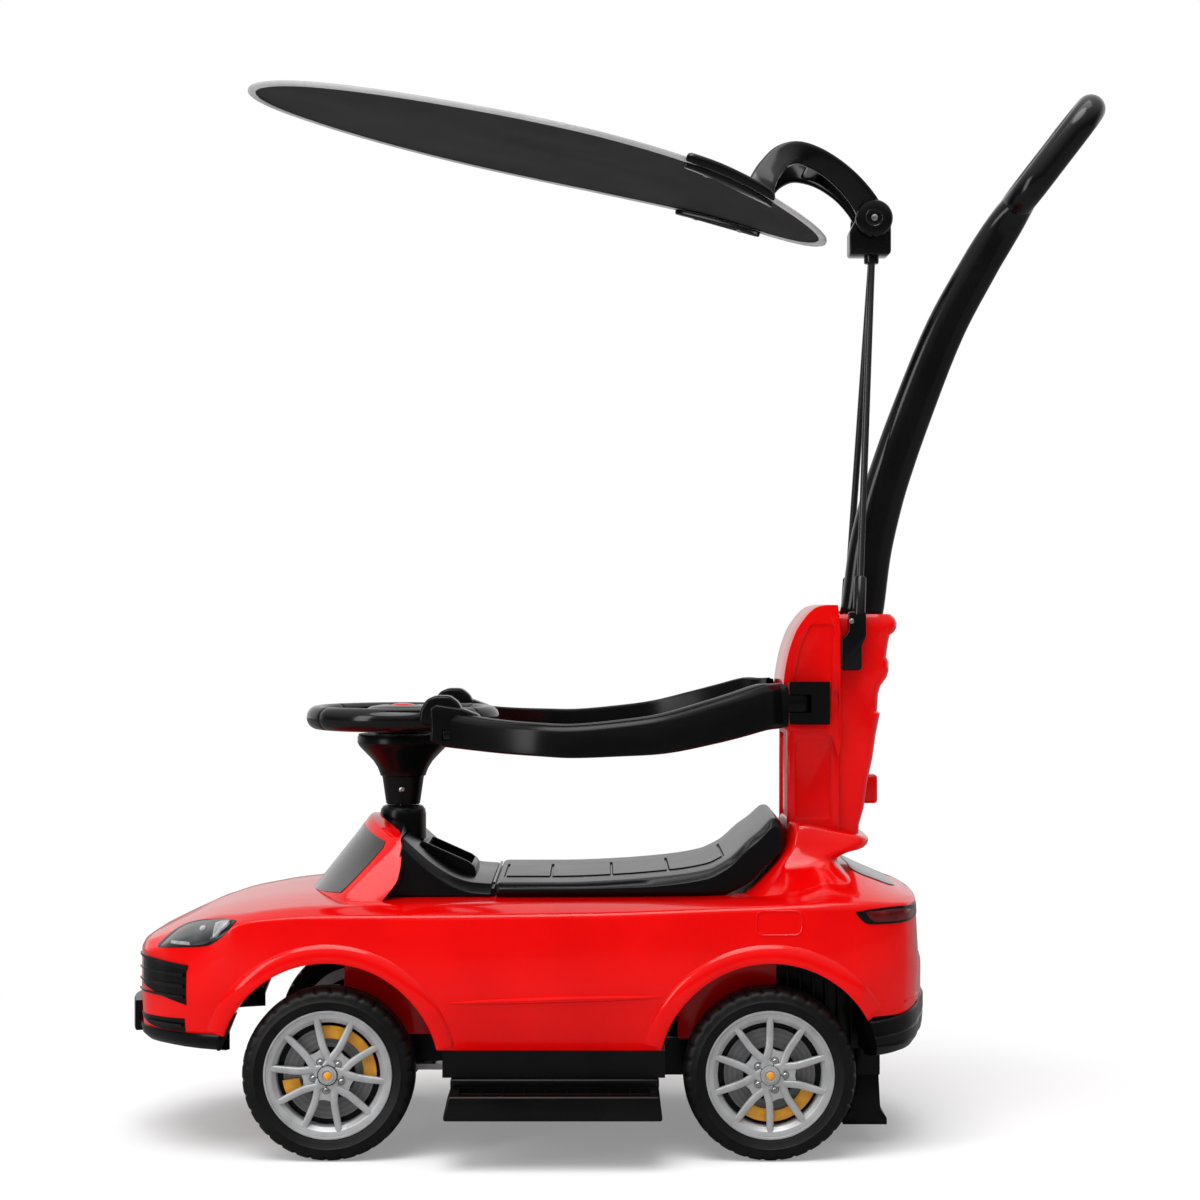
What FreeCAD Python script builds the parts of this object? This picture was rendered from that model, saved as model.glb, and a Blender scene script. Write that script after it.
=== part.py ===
"""Push car with handle: a toddler's ride-on car with guard arms, a canopy and a push handle.

Frame: the front of the car points to -X, +Z is up, and the origin lies on the floor under the
middle of the whole object. Lengths are in millimetres. The left side of the car is at -Y.
"""
import FreeCAD, Part
import math
import os
import re

import Sketcher
from FreeCAD import Placement, Rotation, Vector

# Driving dimensions, kept in a sheet that every sub-part reads
SIZES = {
    # Clearances shared by all fits
    "running_gap": 0.05,
    "body_gap": 0.4,
    "slide_gap": 0.3,
    "cut_overrun": 12,
    # Body shell
    "body_front": -499,
    "body_length": 815,
    "body_half_width": 195,
    "deck_height": 253,
    "shell_wall": 3,
    "flare_width": 14,
    "flare_proud": 3,
    "flare_depth": 20,
    "arch_radius": 109,
    "arch_rise": 2,
    # Cowl and windscreen
    "cowl_front": -337,
    "cowl_rear": -219.5,
    "cowl_base": 230,
    "cowl_top": 327,
    "cowl_top_front": -258,
    "cowl_base_half": 162,
    "cowl_top_half": 112,
    "screen_half": 104,
    "screen_low": 259,
    "screen_high": 318,
    # Lamps, grille and window cut from the shell
    "lamp_setback": 35,
    "lamp_length": 90,
    "lamp_low": 206,
    "lamp_height": 31,
    "lamp_inner": 102,
    "tail_lamp_reach": 85,
    "tail_lamp_length": 90,
    "tail_lamp_low": 236,
    "tail_lamp_height": 21,
    "tail_lamp_inner": 96,
    "grille_depth": 47,
    "grille_low": 129,
    "grille_height": 54,
    "grille_inner": 34,
    "rear_window_reach": 76,
    "rear_window_length": 42,
    "rear_window_half": 84,
    # Front lip, number plate blank and rear bumper
    "lip_length": 97,
    "lip_low": 104,
    "lip_tuck": 25,
    "nose_sill": 121.6,
    "trim_wall": 5,
    "plate_thickness": 8,
    "plate_half": 52,
    "plate_low": 108,
    "plate_height": 32,
    "bumper_length": 70,
    "bumper_low": 100,
    "bumper_top": 139.6,
    "bumper_tuck": 27,
    # Chassis
    "pan_front": -175,
    "pan_length": 219,
    "pan_half": 181,
    "pan_low": 82,
    "pan_height": 26.6,
    "pan_wall": 5,
    "spine_half": 82,
    "spine_setback": 169,
    "beam_depth": 32,
    "beam_low": 100,
    "beam_height": 22,
    "beam_half": 127,
    "rear_spine_setback": 54,
    "rear_spine_half": 100,
    "rear_spine_low": 71,
    # Under-seat bin
    "bin_front": -108,
    "bin_length": 206,
    "bin_half": 94,
    "bin_low": 168,
    "bin_wall": 3,
    "bin_rim": 249,
    # Wheels
    "wheel_radius": 85,
    "wheelbase": 434.5,
    "front_axle": -287.4,
    "wheel_offset": 164.5,
    "tyre_width": 45,
    "rim_radius": 63,
    "rim_width": 39,
    "rim_lip": 51.5,
    "hub_radius": 18,
    "spoke_width": 8,
    "spoke_thickness": 8,
    "disc_thickness": 4,
    "disc_inset": 5,
    "axle_radius": 6,
    "nut_radius": 10,
    "nut_thickness": 1.8,
    # Steering
    "kingpin_offset": 115,
    "kingpin_radius": 5,
    "kingpin_cap_radius": 9,
    "kingpin_cap_height": 4,
    "knuckle_radius": 13,
    "knuckle_low": 71,
    "arm_length": 30,
    "arm_width": 12,
    "arm_height": 8,
    "link_pin_radius": 4,
    "link_clearance": 0.7,
    "link_play": 3.5,
    "tie_low": 61,
    "tie_height": 6,
    "tie_width": 26,
    "tie_end": 12,
    "column": -226.5,
    "shaft_radius": 6,
    "shaft_top": 408,
    "sleeve_radius": 24,
    "sleeve_top": 337,
    "boss_low": 340,
    "boss_height": 72,
    "boss_radius": 48,
    "rim_centre": 429,
    "rim_reach": 89.5,
    "rim_tube": 11.5,
    "wheel_hub_radius": 40,
    "wheel_hub_height": 30,
    "wheel_spoke_width": 26,
    "wheel_spoke_thickness": 14,
    "horn_radius": 14,
    "horn_height": 9,
    "horn_proud": 3,
    "horn_travel": 2,
    # Dash console
    "dash_rear": -129,
    "dash_base": 254.2,
    "dash_rise": 58,
    "dash_half": 122,
    "tray_half": 45,
    "tray_wall": 5,
    "tray_floor": 264,
    # Seat
    "seat_front": -125,
    "seat_length": 293,
    "seat_base": 256,
    "seat_rise": 75,
    "seat_half": 130,
    "seat_wall": 6,
    "seat_pin_radius": 1.4,
    "seat_pin_half": 110,
    "seat_pin_height": 266,
    # Backrest and handle sleeve
    "back_front": 167,
    "back_base": 283.8,
    "back_rise": 263,
    "back_depth": 55,
    "back_half": 75,
    "back_wall": 5,
    "back_split_lean": 32,
    "back_sleeve_depth": 66,
    "back_sleeve_half": 62,
    "sleeve_core": 20,
    # Guard arms
    "guard_pivot": 183,
    "guard_pivot_offset": 100,
    "guard_pin_radius": 4,
    "guard_thickness": 22,
    "bracket_front": 171,
    "bracket_length": 41,
    "bracket_outer": 112,
    "bracket_low": 426,
    "bracket_height": 43,
    "tongue_low": 438,
    "tongue_height": 18,
    "tongue_radius": 10,
    "guard_reach": 332,
    "guard_bulge": 90,
    "guard_drop": 29,
    "guard_height": 46,
    "guard_head_front": -198,
    "guard_head_inner": 101,
    "guard_head_length": 40,
    "guard_head_width": 35,
    "guard_head_low": 405,
    "guard_head_height": 44,
    "latch_front": -177,
    "latch_low": 412,
    "latch_length": 13,
    "latch_height": 9,
    "latch_depth": 8,
    "latch_travel": 3,
    # Push handle and its release button
    "handle_tilt": 10.5,
    "handle_seat": 256,
    "tongue_length": 205,
    "tongue_fore": 15,
    "tongue_side": 14,
    "handle_fore": 22.5,
    "handle_side": 17,
    "handle_reach": 160,
    "handle_rise": 414,
    "loop_length": 130,
    "loop_half": 36,
    "loop_tube": 14,
    "loop_lean": 37.5,
    "button_drop": 208.6,
    "button_height": 30,
    "button_half": 12,
    "button_rear": 270,
    "button_length": 26,
    "button_travel": 5,
    # Canopy support
    "socket_front": 226,
    "socket_length": 26,
    "socket_low": 479,
    "socket_height": 66,
    "socket_depth": 16,
    "socket_tube_radius": 7,
    "socket_tube_top": 573,
    "rod_radius": 3.3,
    "rod_top_spread": 4.5,
    "hinge_x": 264.7,
    "hinge_height": 948,
    "hinge_block_depth": 39,
    "hinge_block_drop": 33,
    "hinge_block_half": 18,
    "hinge_boss_radius": 17,
    "collar_radius": 9,
    "collar_height": 11,
    "bolt_radius": 4,
    "lug_thickness": 12,
    "lug_radius": 18.5,
    "knob_thickness": 6,
    # Canopy
    "canopy_back": 351.2,
    "canopy_lift": 54,
    "canopy_tilt": 14.8,
    "canopy_length": 626,
    "canopy_width": 390,
    "canopy_crown": 16,
    "canopy_sheet": 2,
    "canopy_binding": 7,
    "canopy_binding_height": 5,
    "clamp_offset": 128,
    "clamp_along": 196,
    "clamp_length": 92,
    "clamp_width": 44,
    "clamp_height": 18,
    "yoke_width": 30,
    "yoke_thickness": 16,
    "yoke_rise": 82,
    "yoke_grip": 36,
    # Footrests
    "step_front": -171,
    "step_length": 211,
    "step_outer": 240,
    "step_inner": 165,
    "step_low": 50,
    "step_height": 24,
    "step_ledge": 22,
    "step_wall": 4,
    "rail_width": 22,
    "rail_low": 61,
    "rail_height": 10,
    "rail_reach": 80,
    "rail_inset": 24,
    "guide_length": 24,
    "guide_wall": 5,
    "step_travel": 55,
    # Anti-tip foot
    "foot_setback": 37,
    "foot_length": 46,
    "foot_half": 100,
    "foot_low": 20,
    "foot_height": 10,
    "post_depth": 18,
    "post_half": 40,
}

doc = FreeCAD.newDocument("push_car")
sheet = doc.addObject("Spreadsheet::Sheet", "Sizes")
for row, (alias, number) in enumerate(SIZES.items(), start=1):
    sheet.set("A%d" % row, alias)
    sheet.set("B%d" % row, str(number))
    sheet.setAlias("B%d" % row, alias)
doc.recompute()

size = {alias: float(sheet.get(alias)) for alias in SIZES}
nodes = []

X_AXIS = Vector(1, 0, 0)
Y_AXIS = Vector(0, 1, 0)
Z_AXIS = Vector(0, 0, 1)
FULL_TURN = 360
QUARTER_TURN = 90


# Helpers: ties to the sheet

def tied(expression):
    """The expression with each of the sheet's words pointed at its cell."""
    return re.sub(r"[a-z_]+", lambda word: "Sizes." + word.group() if word.group() in size else word.group(),
                  expression)


def bind(item, **properties):
    """Ties properties of an object to expressions in the sheet's words."""
    for name, expression in properties.items():
        item.setExpression(name.replace("__", "."), tied(expression))
    return item


def place(item, x="0", y="0", z="0", rotation=None):
    """Puts an object at a point written in the sheet's words."""
    item.Placement = Placement(Vector(), rotation or Rotation())
    return bind(item, Placement__Base__x=x, Placement__Base__y=y, Placement__Base__z=z)


def node(item, label):
    """Names an object as a finished sub-part."""
    item.Label = label
    nodes.append(item)
    return item


# Helpers: solids

def box(name, x, y, z, length, width, height):
    """A block from its lowest corner and its three sizes."""
    item = doc.addObject("Part::Box", name)
    bind(item, Length=length, Width=width, Height=height)
    return place(item, x, y, z)


def wide_box(name, x, z, length, half_width, height):
    """A block centred on the car's middle plane."""
    return box(name, x, "-(%s)" % half_width, z, length, "2 * (%s)" % half_width, height)


def upright(name, x, y, z, radius, height):
    """A vertical cylinder standing on a point."""
    item = doc.addObject("Part::Cylinder", name)
    bind(item, Radius=radius, Height=height)
    return place(item, x, y, z)


def crosswise(name, x, z, radius, half_length):
    """A cylinder across the car, centred on its middle plane."""
    item = doc.addObject("Part::Cylinder", name)
    bind(item, Radius=radius, Height="2 * (%s)" % half_length)
    return place(item, x, half_length, z, Rotation(X_AXIS, QUARTER_TURN))


def crosswise_from(name, x, y, z, radius, length):
    """A cylinder from a point towards the car's right side."""
    item = doc.addObject("Part::Cylinder", name)
    bind(item, Radius=radius, Height=length)
    return place(item, x, y, z, Rotation(X_AXIS, -QUARTER_TURN))


def fused(name, *pieces):
    item = doc.addObject("Part::MultiFuse", name)
    item.Shapes = list(pieces)
    return item


def group(name, *pieces):
    """Separate solids that share one node."""
    item = doc.addObject("Part::Compound", name)
    item.Links = list(pieces)
    return item


def cut(name, base, *tools):
    item = doc.addObject("Part::Cut", name)
    item.Base = base
    item.Tool = tools[0] if len(tools) == 1 else fused(name + "_tools", *tools)
    return item


def common(name, first, second):
    item = doc.addObject("Part::Common", name)
    item.Base = first
    item.Tool = second
    return item


def mirrored(name, source):
    """The same piece on the car's other side."""
    item = doc.addObject("Part::Mirroring", name)
    item.Source = source
    item.Normal = Y_AXIS
    return item


def coded(name, shape):
    """A solid worked out from the sheet's values."""
    item = doc.addObject("Part::Feature", name)
    item.Shape = shape
    item.Placement = Placement()
    return item


# Helpers: sketched solids

def share_outline(shares, across_start, across_size, up_start, up_size):
    """Corners in the sheet's words, from shares of a piece's own sizes."""
    return [
        ("%s + %s * (%s)" % (across_start, across_share, across_size),
         "%s + %s * (%s)" % (up_start, up_share, up_size))
        for across_share, up_share in shares
    ]


def outline_sketch(body, name, plane, corners):
    """A closed outline whose corners are tied to the sheet."""
    sketch = body.newObject("Sketcher::SketchObject", name)
    support = [feature for feature in body.Origin.OriginFeatures if feature.Role == plane][0]
    sketch.AttachmentSupport = [(support, "")]
    sketch.MapMode = "FlatFace"
    count = len(corners)
    turns = [math.tau * index / count for index in range(count)]
    start = [Vector(math.cos(turn), math.sin(turn), 0) for turn in turns]
    for index in range(count):
        sketch.addGeometry(Part.LineSegment(start[index], start[(index + 1) % count]))
    for index in range(count):
        sketch.addConstraint(Sketcher.Constraint("Coincident", index, 2, (index + 1) % count, 1))
    for index, corner in enumerate(corners):
        for kind, expression in zip(("DistanceX", "DistanceY"), corner):
            place_of = sketch.addConstraint(Sketcher.Constraint(kind, -1, 1, index, 1, 1.0))
            sketch.setExpression("Constraints[%d]" % place_of, tied(expression))
    return sketch


def new_body(name):
    return doc.addObject("PartDesign::Body", name)


def profile_body(name, plane, corners, length):
    """An outline thickened evenly to both sides of its plane."""
    body = new_body(name)
    pad = body.newObject("PartDesign::Pad", name + "_pad")
    pad.Profile = outline_sketch(body, name + "_outline", plane, corners)
    pad.Midplane = True
    bind(pad, Length=length)
    return body


def turned_body(name, corners):
    """An outline in radius and height, turned about the upright axis."""
    body = new_body(name)
    turn = body.newObject("PartDesign::Revolution", name + "_turn")
    sketch = outline_sketch(body, name + "_outline", "XZ_Plane", corners)
    turn.Profile = sketch
    turn.ReferenceAxis = (sketch, ["V_Axis"])
    turn.Angle = FULL_TURN
    return body


def ring_wire(points):
    return Part.makePolygon(points + points[:1])


def ruled_loft(sections):
    """A solid through closed outlines with equal corner counts."""
    return Part.makeLoft([ring_wire(points) for points in sections], True, True)


# Body shell: lofted along the car, hollow and open below

# Station, sill, bottom width, waist width, shoulder width and height, deck width and height, crown
BODY_SHARES = [
    (0.000, 0.482, 0.35, 0.36, 0.34, 0.731, 0.30, 0.747, 0.755),
    (0.029, 0.482, 0.555, 0.605, 0.575, 0.783, 0.51, 0.810, 0.834),
    (0.063, 0.482, 0.71, 0.77, 0.75, 0.818, 0.665, 0.858, 0.885),
    (0.096, 0.482, 0.80, 0.87, 0.86, 0.842, 0.77, 0.900, 0.929),
    (0.134, 0.482, 0.87, 0.95, 0.945, 0.885, 0.845, 0.940, 0.965),
    (0.222, 0.431, 0.91, 0.995, 0.965, 0.940, 0.88, 0.972, 1.004),
    (0.444, 0.431, 0.92, 1.0, 0.975, 0.960, 0.82, 0.985, 0.990),
    (0.720, 0.431, 0.92, 1.0, 0.985, 0.984, 0.82, 1.000, 1.000),
    (0.796, 0.431, 0.92, 0.995, 0.975, 0.992, 0.80, 1.010, 1.018),
    (0.858, 0.431, 0.90, 0.97, 0.955, 1.000, 0.70, 1.040, 1.120),
    (0.910, 0.553, 0.86, 0.92, 0.90, 0.995, 0.64, 1.030, 1.090),
    (0.962, 0.553, 0.72, 0.79, 0.77, 0.980, 0.60, 1.010, 1.024),
    (0.9865, 0.553, 0.60, 0.66, 0.65, 0.910, 0.55, 0.955, 0.965),
    (1.000, 0.553, 0.50, 0.54, 0.52, 0.720, 0.45, 0.750, 0.765),
]
WAIST_RISE_SHARE = 0.4
CROWN_WIDTH_SHARE = 0.45
SILL_SHARE = 0.431


def body_solid(inset):
    """The body's outer form, or its hollow when inset by the wall."""
    start = size["body_front"] + inset
    length = size["body_length"] - 2 * inset
    half = size["body_half_width"]
    tall = size["deck_height"]
    drop = size["cut_overrun"] if inset else 0
    sections = []
    for station, sill, bottom, waist, shoulder, shoulder_up, deck, deck_up, crown in BODY_SHARES:
        x = start + station * length
        waist_up = sill + WAIST_RISE_SHARE * (shoulder_up - sill)
        side = [
            (bottom * half - inset, sill * tall - drop),
            (waist * half - inset, waist_up * tall),
            (shoulder * half - inset, shoulder_up * tall - inset),
            (deck * half - inset, deck_up * tall - inset),
            (deck * half * CROWN_WIDTH_SHARE, crown * tall - inset),
        ]
        right = [Vector(x, y, z) for y, z in side]
        left = [Vector(x, -y, z) for y, z in reversed(side)]
        sections.append(right + left)
    return ruled_loft(sections)


def cowl_solid(inset):
    """The raised cowl between bonnet and dash, a block with leaning front and sides."""
    rear = size["cowl_rear"] - inset
    low = size["cowl_base"] - (size["cut_overrun"] if inset else 0)
    top = size["cowl_top"] - inset
    sections = []
    for z, front, half in ((low, size["cowl_front"], size["cowl_base_half"]),
                           (top, size["cowl_top_front"], size["cowl_top_half"])):
        x = front + inset
        y = half - inset
        sections.append([Vector(x, -y, z), Vector(rear, -y, z), Vector(rear, y, z), Vector(x, y, z)])
    return ruled_loft(sections)


def axle_places():
    front = size["front_axle"]
    return [front, front + size["wheelbase"]]


def across_cylinder(x, z, radius, y_from, y_to):
    return Part.makeCylinder(radius, y_to - y_from, Vector(x, y_from, z), Y_AXIS)


def hull_wall():
    """Shell, arch flares and cowl as one wall, with wheel arches and openings cut through."""
    arch_height = size["wheel_radius"] + size["arch_rise"]
    arch = size["arch_radius"]
    outer_side = size["body_half_width"] + size["flare_proud"]
    inner_side = outer_side - size["flare_depth"]
    wall = body_solid(0).fuse(cowl_solid(0))
    wall = wall.cut(body_solid(size["shell_wall"])).cut(cowl_solid(size["shell_wall"]))
    ring = arch + size["flare_width"]
    sill = SILL_SHARE * size["deck_height"]
    for x in axle_places():
        upper = Part.makeBox(2 * ring, 2 * outer_side, ring, Vector(x - ring, -outer_side, sill))
        for low, high in ((-outer_side, -inner_side), (inner_side, outer_side)):
            flare = across_cylinder(x, arch_height, ring, low, high).common(upper)
            wall = wall.fuse(flare)
    for x in axle_places():
        wall = wall.cut(across_cylinder(x, arch_height, arch, -2 * outer_side, 2 * outer_side))
    over = size["cut_overrun"]
    well = Part.makeBox(size["bin_length"], 2 * size["bin_half"], size["deck_height"],
                        Vector(size["bin_front"], -size["bin_half"], size["bin_low"]))
    column = Part.makeCylinder(size["sleeve_radius"], size["cowl_top"], Vector(size["column"], 0, over))
    return wall.cut(well).cut(column)


hull = coded("hull_wall", hull_wall())

BODY_REAR = "(body_front + body_length)"
LAMP_SHARES = [(0.0, 0.05), (0.5, 0.84), (0.74, 1.0), (1.0, 1.0), (0.79, 0.42), (0.6, 0.1)]
lamp_band = profile_body("lamp_band", "XZ_Plane",
                         share_outline(LAMP_SHARES, "body_front + lamp_setback", "lamp_length", "lamp_low",
                                       "lamp_height"), "2 * body_half_width + cut_overrun")
bonnet_middle = wide_box("bonnet_middle", "body_front", "lamp_low - cut_overrun", "body_length", "lamp_inner",
                         "lamp_height + 2 * cut_overrun")
lamp_prism = cut("lamp_prism", lamp_band, bonnet_middle)
tail_lamp_left = box("tail_lamp_left", BODY_REAR + " - tail_lamp_reach", "-body_half_width - cut_overrun",
                     "tail_lamp_low", "tail_lamp_length", "body_half_width + cut_overrun - tail_lamp_inner",
                     "tail_lamp_height")
tail_lamp_prism = group("tail_lamp_prism", tail_lamp_left, mirrored("tail_lamp_right", tail_lamp_left))
grille_left = box("grille_left", "body_front - cut_overrun", "-body_half_width", "grille_low",
                  "grille_depth + cut_overrun", "body_half_width - grille_inner", "grille_height")
grille_prism = group("grille_prism", grille_left, mirrored("grille_right", grille_left))
window_prism = wide_box("window_prism", BODY_REAR + " - rear_window_reach", "tail_lamp_low", "rear_window_length",
                        "rear_window_half", "deck_height")
screen_prism = wide_box("screen_prism", "cowl_front", "screen_low", "cowl_top_front - cowl_front + cut_overrun",
                        "screen_half", "screen_high - screen_low")

trim_prisms = fused("trim_prisms", lamp_prism, tail_lamp_prism, grille_prism, window_prism, screen_prism)
node(cut("body_shell", hull, trim_prisms), "body_shell")
node(common("headlights", hull, lamp_prism), "headlights")
node(common("tail_lights", hull, tail_lamp_prism), "tail_lights")
node(common("front_grille", hull, grille_prism), "front_grille")
node(common("rear_window", hull, window_prism), "rear_window")
node(common("windscreen", hull, screen_prism), "windscreen")

# Front lip and rear bumper: hollow trays, a plan outline trimmed by a side outline

def tray_form(name, plan_shares, side_shares, front, length, half, low, rise, inset):
    """A tray's outer form, or its hollow when drawn in and up by an inset."""
    across = ("%s + %s" % (front, inset), "%s - 2 * (%s)" % (length, inset))
    plan = profile_body(name + "_plan", "XY_Plane",
                        share_outline(plan_shares, *across, "0", "%s - (%s)" % (half, inset)), "2 * body_length")
    side = profile_body(name + "_side", "XZ_Plane",
                        share_outline(side_shares, *across, "%s + %s" % (low, inset), rise), "2 * body_half_width")
    return common(name, plan, side)


def tray(name, *form):
    """A tray open at its top."""
    hollow = tray_form(name + "_inner", *form, "trim_wall")
    return cut(name, tray_form(name + "_outer", *form, "0 * trim_wall"), hollow)


LIP_PLAN_SHARES = [
    (1.0, -1.0), (0.78, -0.93), (0.51, -0.82), (0.24, -0.63), (0.0, -0.33),
    (0.0, 0.33), (0.24, 0.63), (0.51, 0.82), (0.78, 0.93), (1.0, 1.0),
]
LIP_SIDE_SHARES = [(0.0, 1.0), (0.0, 0.8), (0.13, 0.25), (0.35, 0.0), (0.7, 0.05), (1.0, 0.5), (1.0, 1.0)]
node(tray("front_lip", LIP_PLAN_SHARES, LIP_SIDE_SHARES, "body_front", "lip_length",
          "(body_half_width - lip_tuck)", "lip_low",
          "nose_sill - lip_low"), "front_lip")
node(wide_box("front_plate", "body_front - plate_thickness", "plate_low", "plate_thickness", "plate_half",
              "plate_height"), "front_plate")

BUMPER_PLAN_SHARES = [(0.0, -1.0), (0.4, -0.94), (0.8, -0.78), (1.0, -0.55), (1.0, 0.55), (0.8, 0.78),
                      (0.4, 0.94), (0.0, 1.0)]
BUMPER_SIDE_SHARES = [(0.0, 1.0), (1.0, 1.0), (0.985, 0.64), (0.93, 0.37), (0.77, 0.15), (0.57, 0.0), (0.24, 0.0),
                      (0.24, 0.6), (0.0, 0.8)]
node(tray("rear_bumper", BUMPER_PLAN_SHARES, BUMPER_SIDE_SHARES, BODY_REAR + " - bumper_length", "bumper_length",
          "(body_half_width - bumper_tuck)", "bumper_low", "bumper_top - bumper_low"), "rear_bumper")

# Chassis: a sill tray with a front spine, a kingpin beam and a rear spine
REAR_AXLE = "(front_axle + wheelbase)"
SPINE_FRONT = "(body_front + spine_setback)"
REAR_SPINE_REAR = "(%s - rear_spine_setback)" % BODY_REAR
AXLE_HALF = "(wheel_offset + rim_width / 2 + slide_gap + nut_thickness)"
WHEEL_INNER = "(wheel_offset - rim_width / 2 - slide_gap)"
pan_outer = wide_box("pan_outer", "pan_front", "pan_low", "pan_length", "pan_half", "pan_height")
pan_inner = wide_box("pan_inner", "pan_front + pan_wall", "pan_low + pan_wall", "pan_length - 2 * pan_wall",
                     "pan_half - pan_wall", "pan_height")
pan_tray = cut("pan_tray", pan_outer, pan_inner)
front_spine = wide_box("front_spine", SPINE_FRONT, "pan_low", "pan_front + pan_wall - " + SPINE_FRONT, "spine_half",
                       "pan_height")
kingpin_beam = wide_box("kingpin_beam", "front_axle - beam_depth / 2", "beam_low", "beam_depth", "beam_half",
                        "beam_height")
REAR_SPINE_FRONT = "(pan_front + pan_length - pan_wall)"
rear_spine = wide_box("rear_spine", REAR_SPINE_FRONT, "rear_spine_low", REAR_SPINE_REAR + " - " + REAR_SPINE_FRONT,
                      "rear_spine_half", "pan_low + pan_height - rear_spine_low")
front_hollow = wide_box("front_hollow", SPINE_FRONT + " + pan_wall", "pan_low + pan_wall",
                        "pan_front - pan_wall - " + SPINE_FRONT, "spine_half - pan_wall", "pan_height")
rear_hollow = wide_box("rear_hollow", REAR_SPINE_FRONT + " + pan_wall", "rear_spine_low + pan_wall",
                       REAR_SPINE_REAR + " - " + REAR_SPINE_FRONT + " - 2 * pan_wall", "rear_spine_half - pan_wall",
                       "pan_height + pan_low - rear_spine_low")
axle_boss = crosswise("axle_boss", REAR_AXLE, "wheel_radius", "nut_radius", WHEEL_INNER)
chassis_blank = fused("chassis_blank", pan_tray, cut("front_tray", front_spine, front_hollow), kingpin_beam,
                      cut("rear_tray", rear_spine, rear_hollow), axle_boss)
kingpin_holes = [
    upright("kingpin_hole_" + side, "front_axle", sign + "kingpin_offset", "beam_low - cut_overrun",
            "kingpin_radius + running_gap", "beam_height + 2 * cut_overrun")
    for side, sign in (("left", "-"), ("right", ""))
]
shaft_hole = upright("shaft_hole", "column", "0", "pan_low - cut_overrun", "shaft_radius + running_gap",
                     "pan_height + 2 * cut_overrun")
axle_hole = crosswise("axle_hole", REAR_AXLE, "wheel_radius", "axle_radius", AXLE_HALF)
node(cut("chassis_pan", chassis_blank, *kingpin_holes, shaft_hole, axle_hole), "chassis_pan")

# Under-seat bin, hung in the deck opening
bin_outer = wide_box("bin_outer", "bin_front", "bin_low", "bin_length", "bin_half", "bin_rim - bin_low")
bin_inner = wide_box("bin_inner", "bin_front + bin_wall", "bin_low + bin_wall", "bin_length - 2 * bin_wall",
                     "bin_half - bin_wall", "bin_rim - bin_low")
node(cut("storage_bin", bin_outer, bin_inner), "storage_bin")

# Rear axle and its push nuts
node(crosswise("rear_axle", REAR_AXLE, "wheel_radius", "axle_radius", AXLE_HALF), "rear_axle")
rear_nuts = []
for side, start in (("left", "-" + AXLE_HALF), ("right", AXLE_HALF + " - nut_thickness")):
    nut = crosswise_from("rear_nut_" + side, REAR_AXLE, start, "wheel_radius", "nut_radius", "nut_thickness")
    bore = crosswise_from("rear_nut_bore_" + side, REAR_AXLE, start, "wheel_radius", "axle_radius",
                          "nut_thickness")
    rear_nuts.append(cut("rear_push_nut_" + side, nut, bore))
node(group("axle_push_nuts", *rear_nuts), "axle_push_nuts")

# Anti-tip foot behind the rear wheels
foot_post = wide_box("foot_post", REAR_SPINE_REAR + " - post_depth", "foot_low", "post_depth", "post_half",
                     "rear_spine_low - foot_low")
foot_plate = wide_box("foot_plate", REAR_SPINE_REAR + " - foot_setback", "foot_low", "foot_length", "foot_half",
                      "foot_height")
node(fused("anti_tip_foot", foot_post, foot_plate), "anti_tip_foot")


# Wheels: tyre, spoked rim and brake disc for each corner

TYRE_SHARES = [
    (0.0, -0.44), (0.2, -0.5), (0.72, -0.5), (0.92, -0.44), (1.0, -0.32),
    (1.0, 0.32), (0.92, 0.44), (0.72, 0.5), (0.2, 0.5), (0.0, 0.44),
    (0.0, 0.34), (0.76, 0.38), (0.76, -0.38), (0.0, -0.34),
]
BARREL_SHARES = [(0.0, -0.5), (1.0, -0.5), (1.0, 0.5), (0.0, 0.5)]
SPOKE_COUNT = 10
SPOKE_TAPER_SHARE = 0.7


def spoked_rim(name):
    """A hub, evenly spaced spokes flush with the outer face, and a barrel."""
    body = turned_body(name, [
        ("axle_radius + running_gap", "-rim_width / 2"), ("hub_radius", "-rim_width / 2"),
        ("hub_radius", "rim_width / 2"), ("axle_radius + running_gap", "rim_width / 2"),
    ])
    reach = "(rim_lip + (rim_radius - rim_lip) / 2)"
    spoke = body.newObject("PartDesign::Pad", name + "_spoke")
    sketch = outline_sketch(body, name + "_spoke_outline", "XY_Plane", [
        ("hub_radius / 2", "-spoke_width / 2"), (reach, "-spoke_width / 2 * %s" % SPOKE_TAPER_SHARE),
        (reach, "spoke_width / 2 * %s" % SPOKE_TAPER_SHARE), ("hub_radius / 2", "spoke_width / 2"),
    ])
    bind(sketch, AttachmentOffset__Base__z="rim_width / 2 - spoke_thickness")
    spoke.Profile = sketch
    bind(spoke, Length="spoke_thickness")
    pattern = body.newObject("PartDesign::PolarPattern", name + "_spokes")
    pattern.Originals = [spoke]
    pattern.Axis = (sketch, ["N_Axis"])
    pattern.Angle = FULL_TURN
    pattern.Occurrences = SPOKE_COUNT
    body.Tip = pattern
    barrel = body.newObject("PartDesign::Revolution", name + "_barrel")
    barrel_sketch = outline_sketch(body, name + "_barrel_outline", "XZ_Plane",
                                   share_outline(BARREL_SHARES, "rim_lip", "rim_radius - rim_lip", "0", "rim_width"))
    barrel.Profile = barrel_sketch
    barrel.ReferenceAxis = (barrel_sketch, ["V_Axis"])
    barrel.Angle = FULL_TURN
    body.Tip = barrel
    return body


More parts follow.
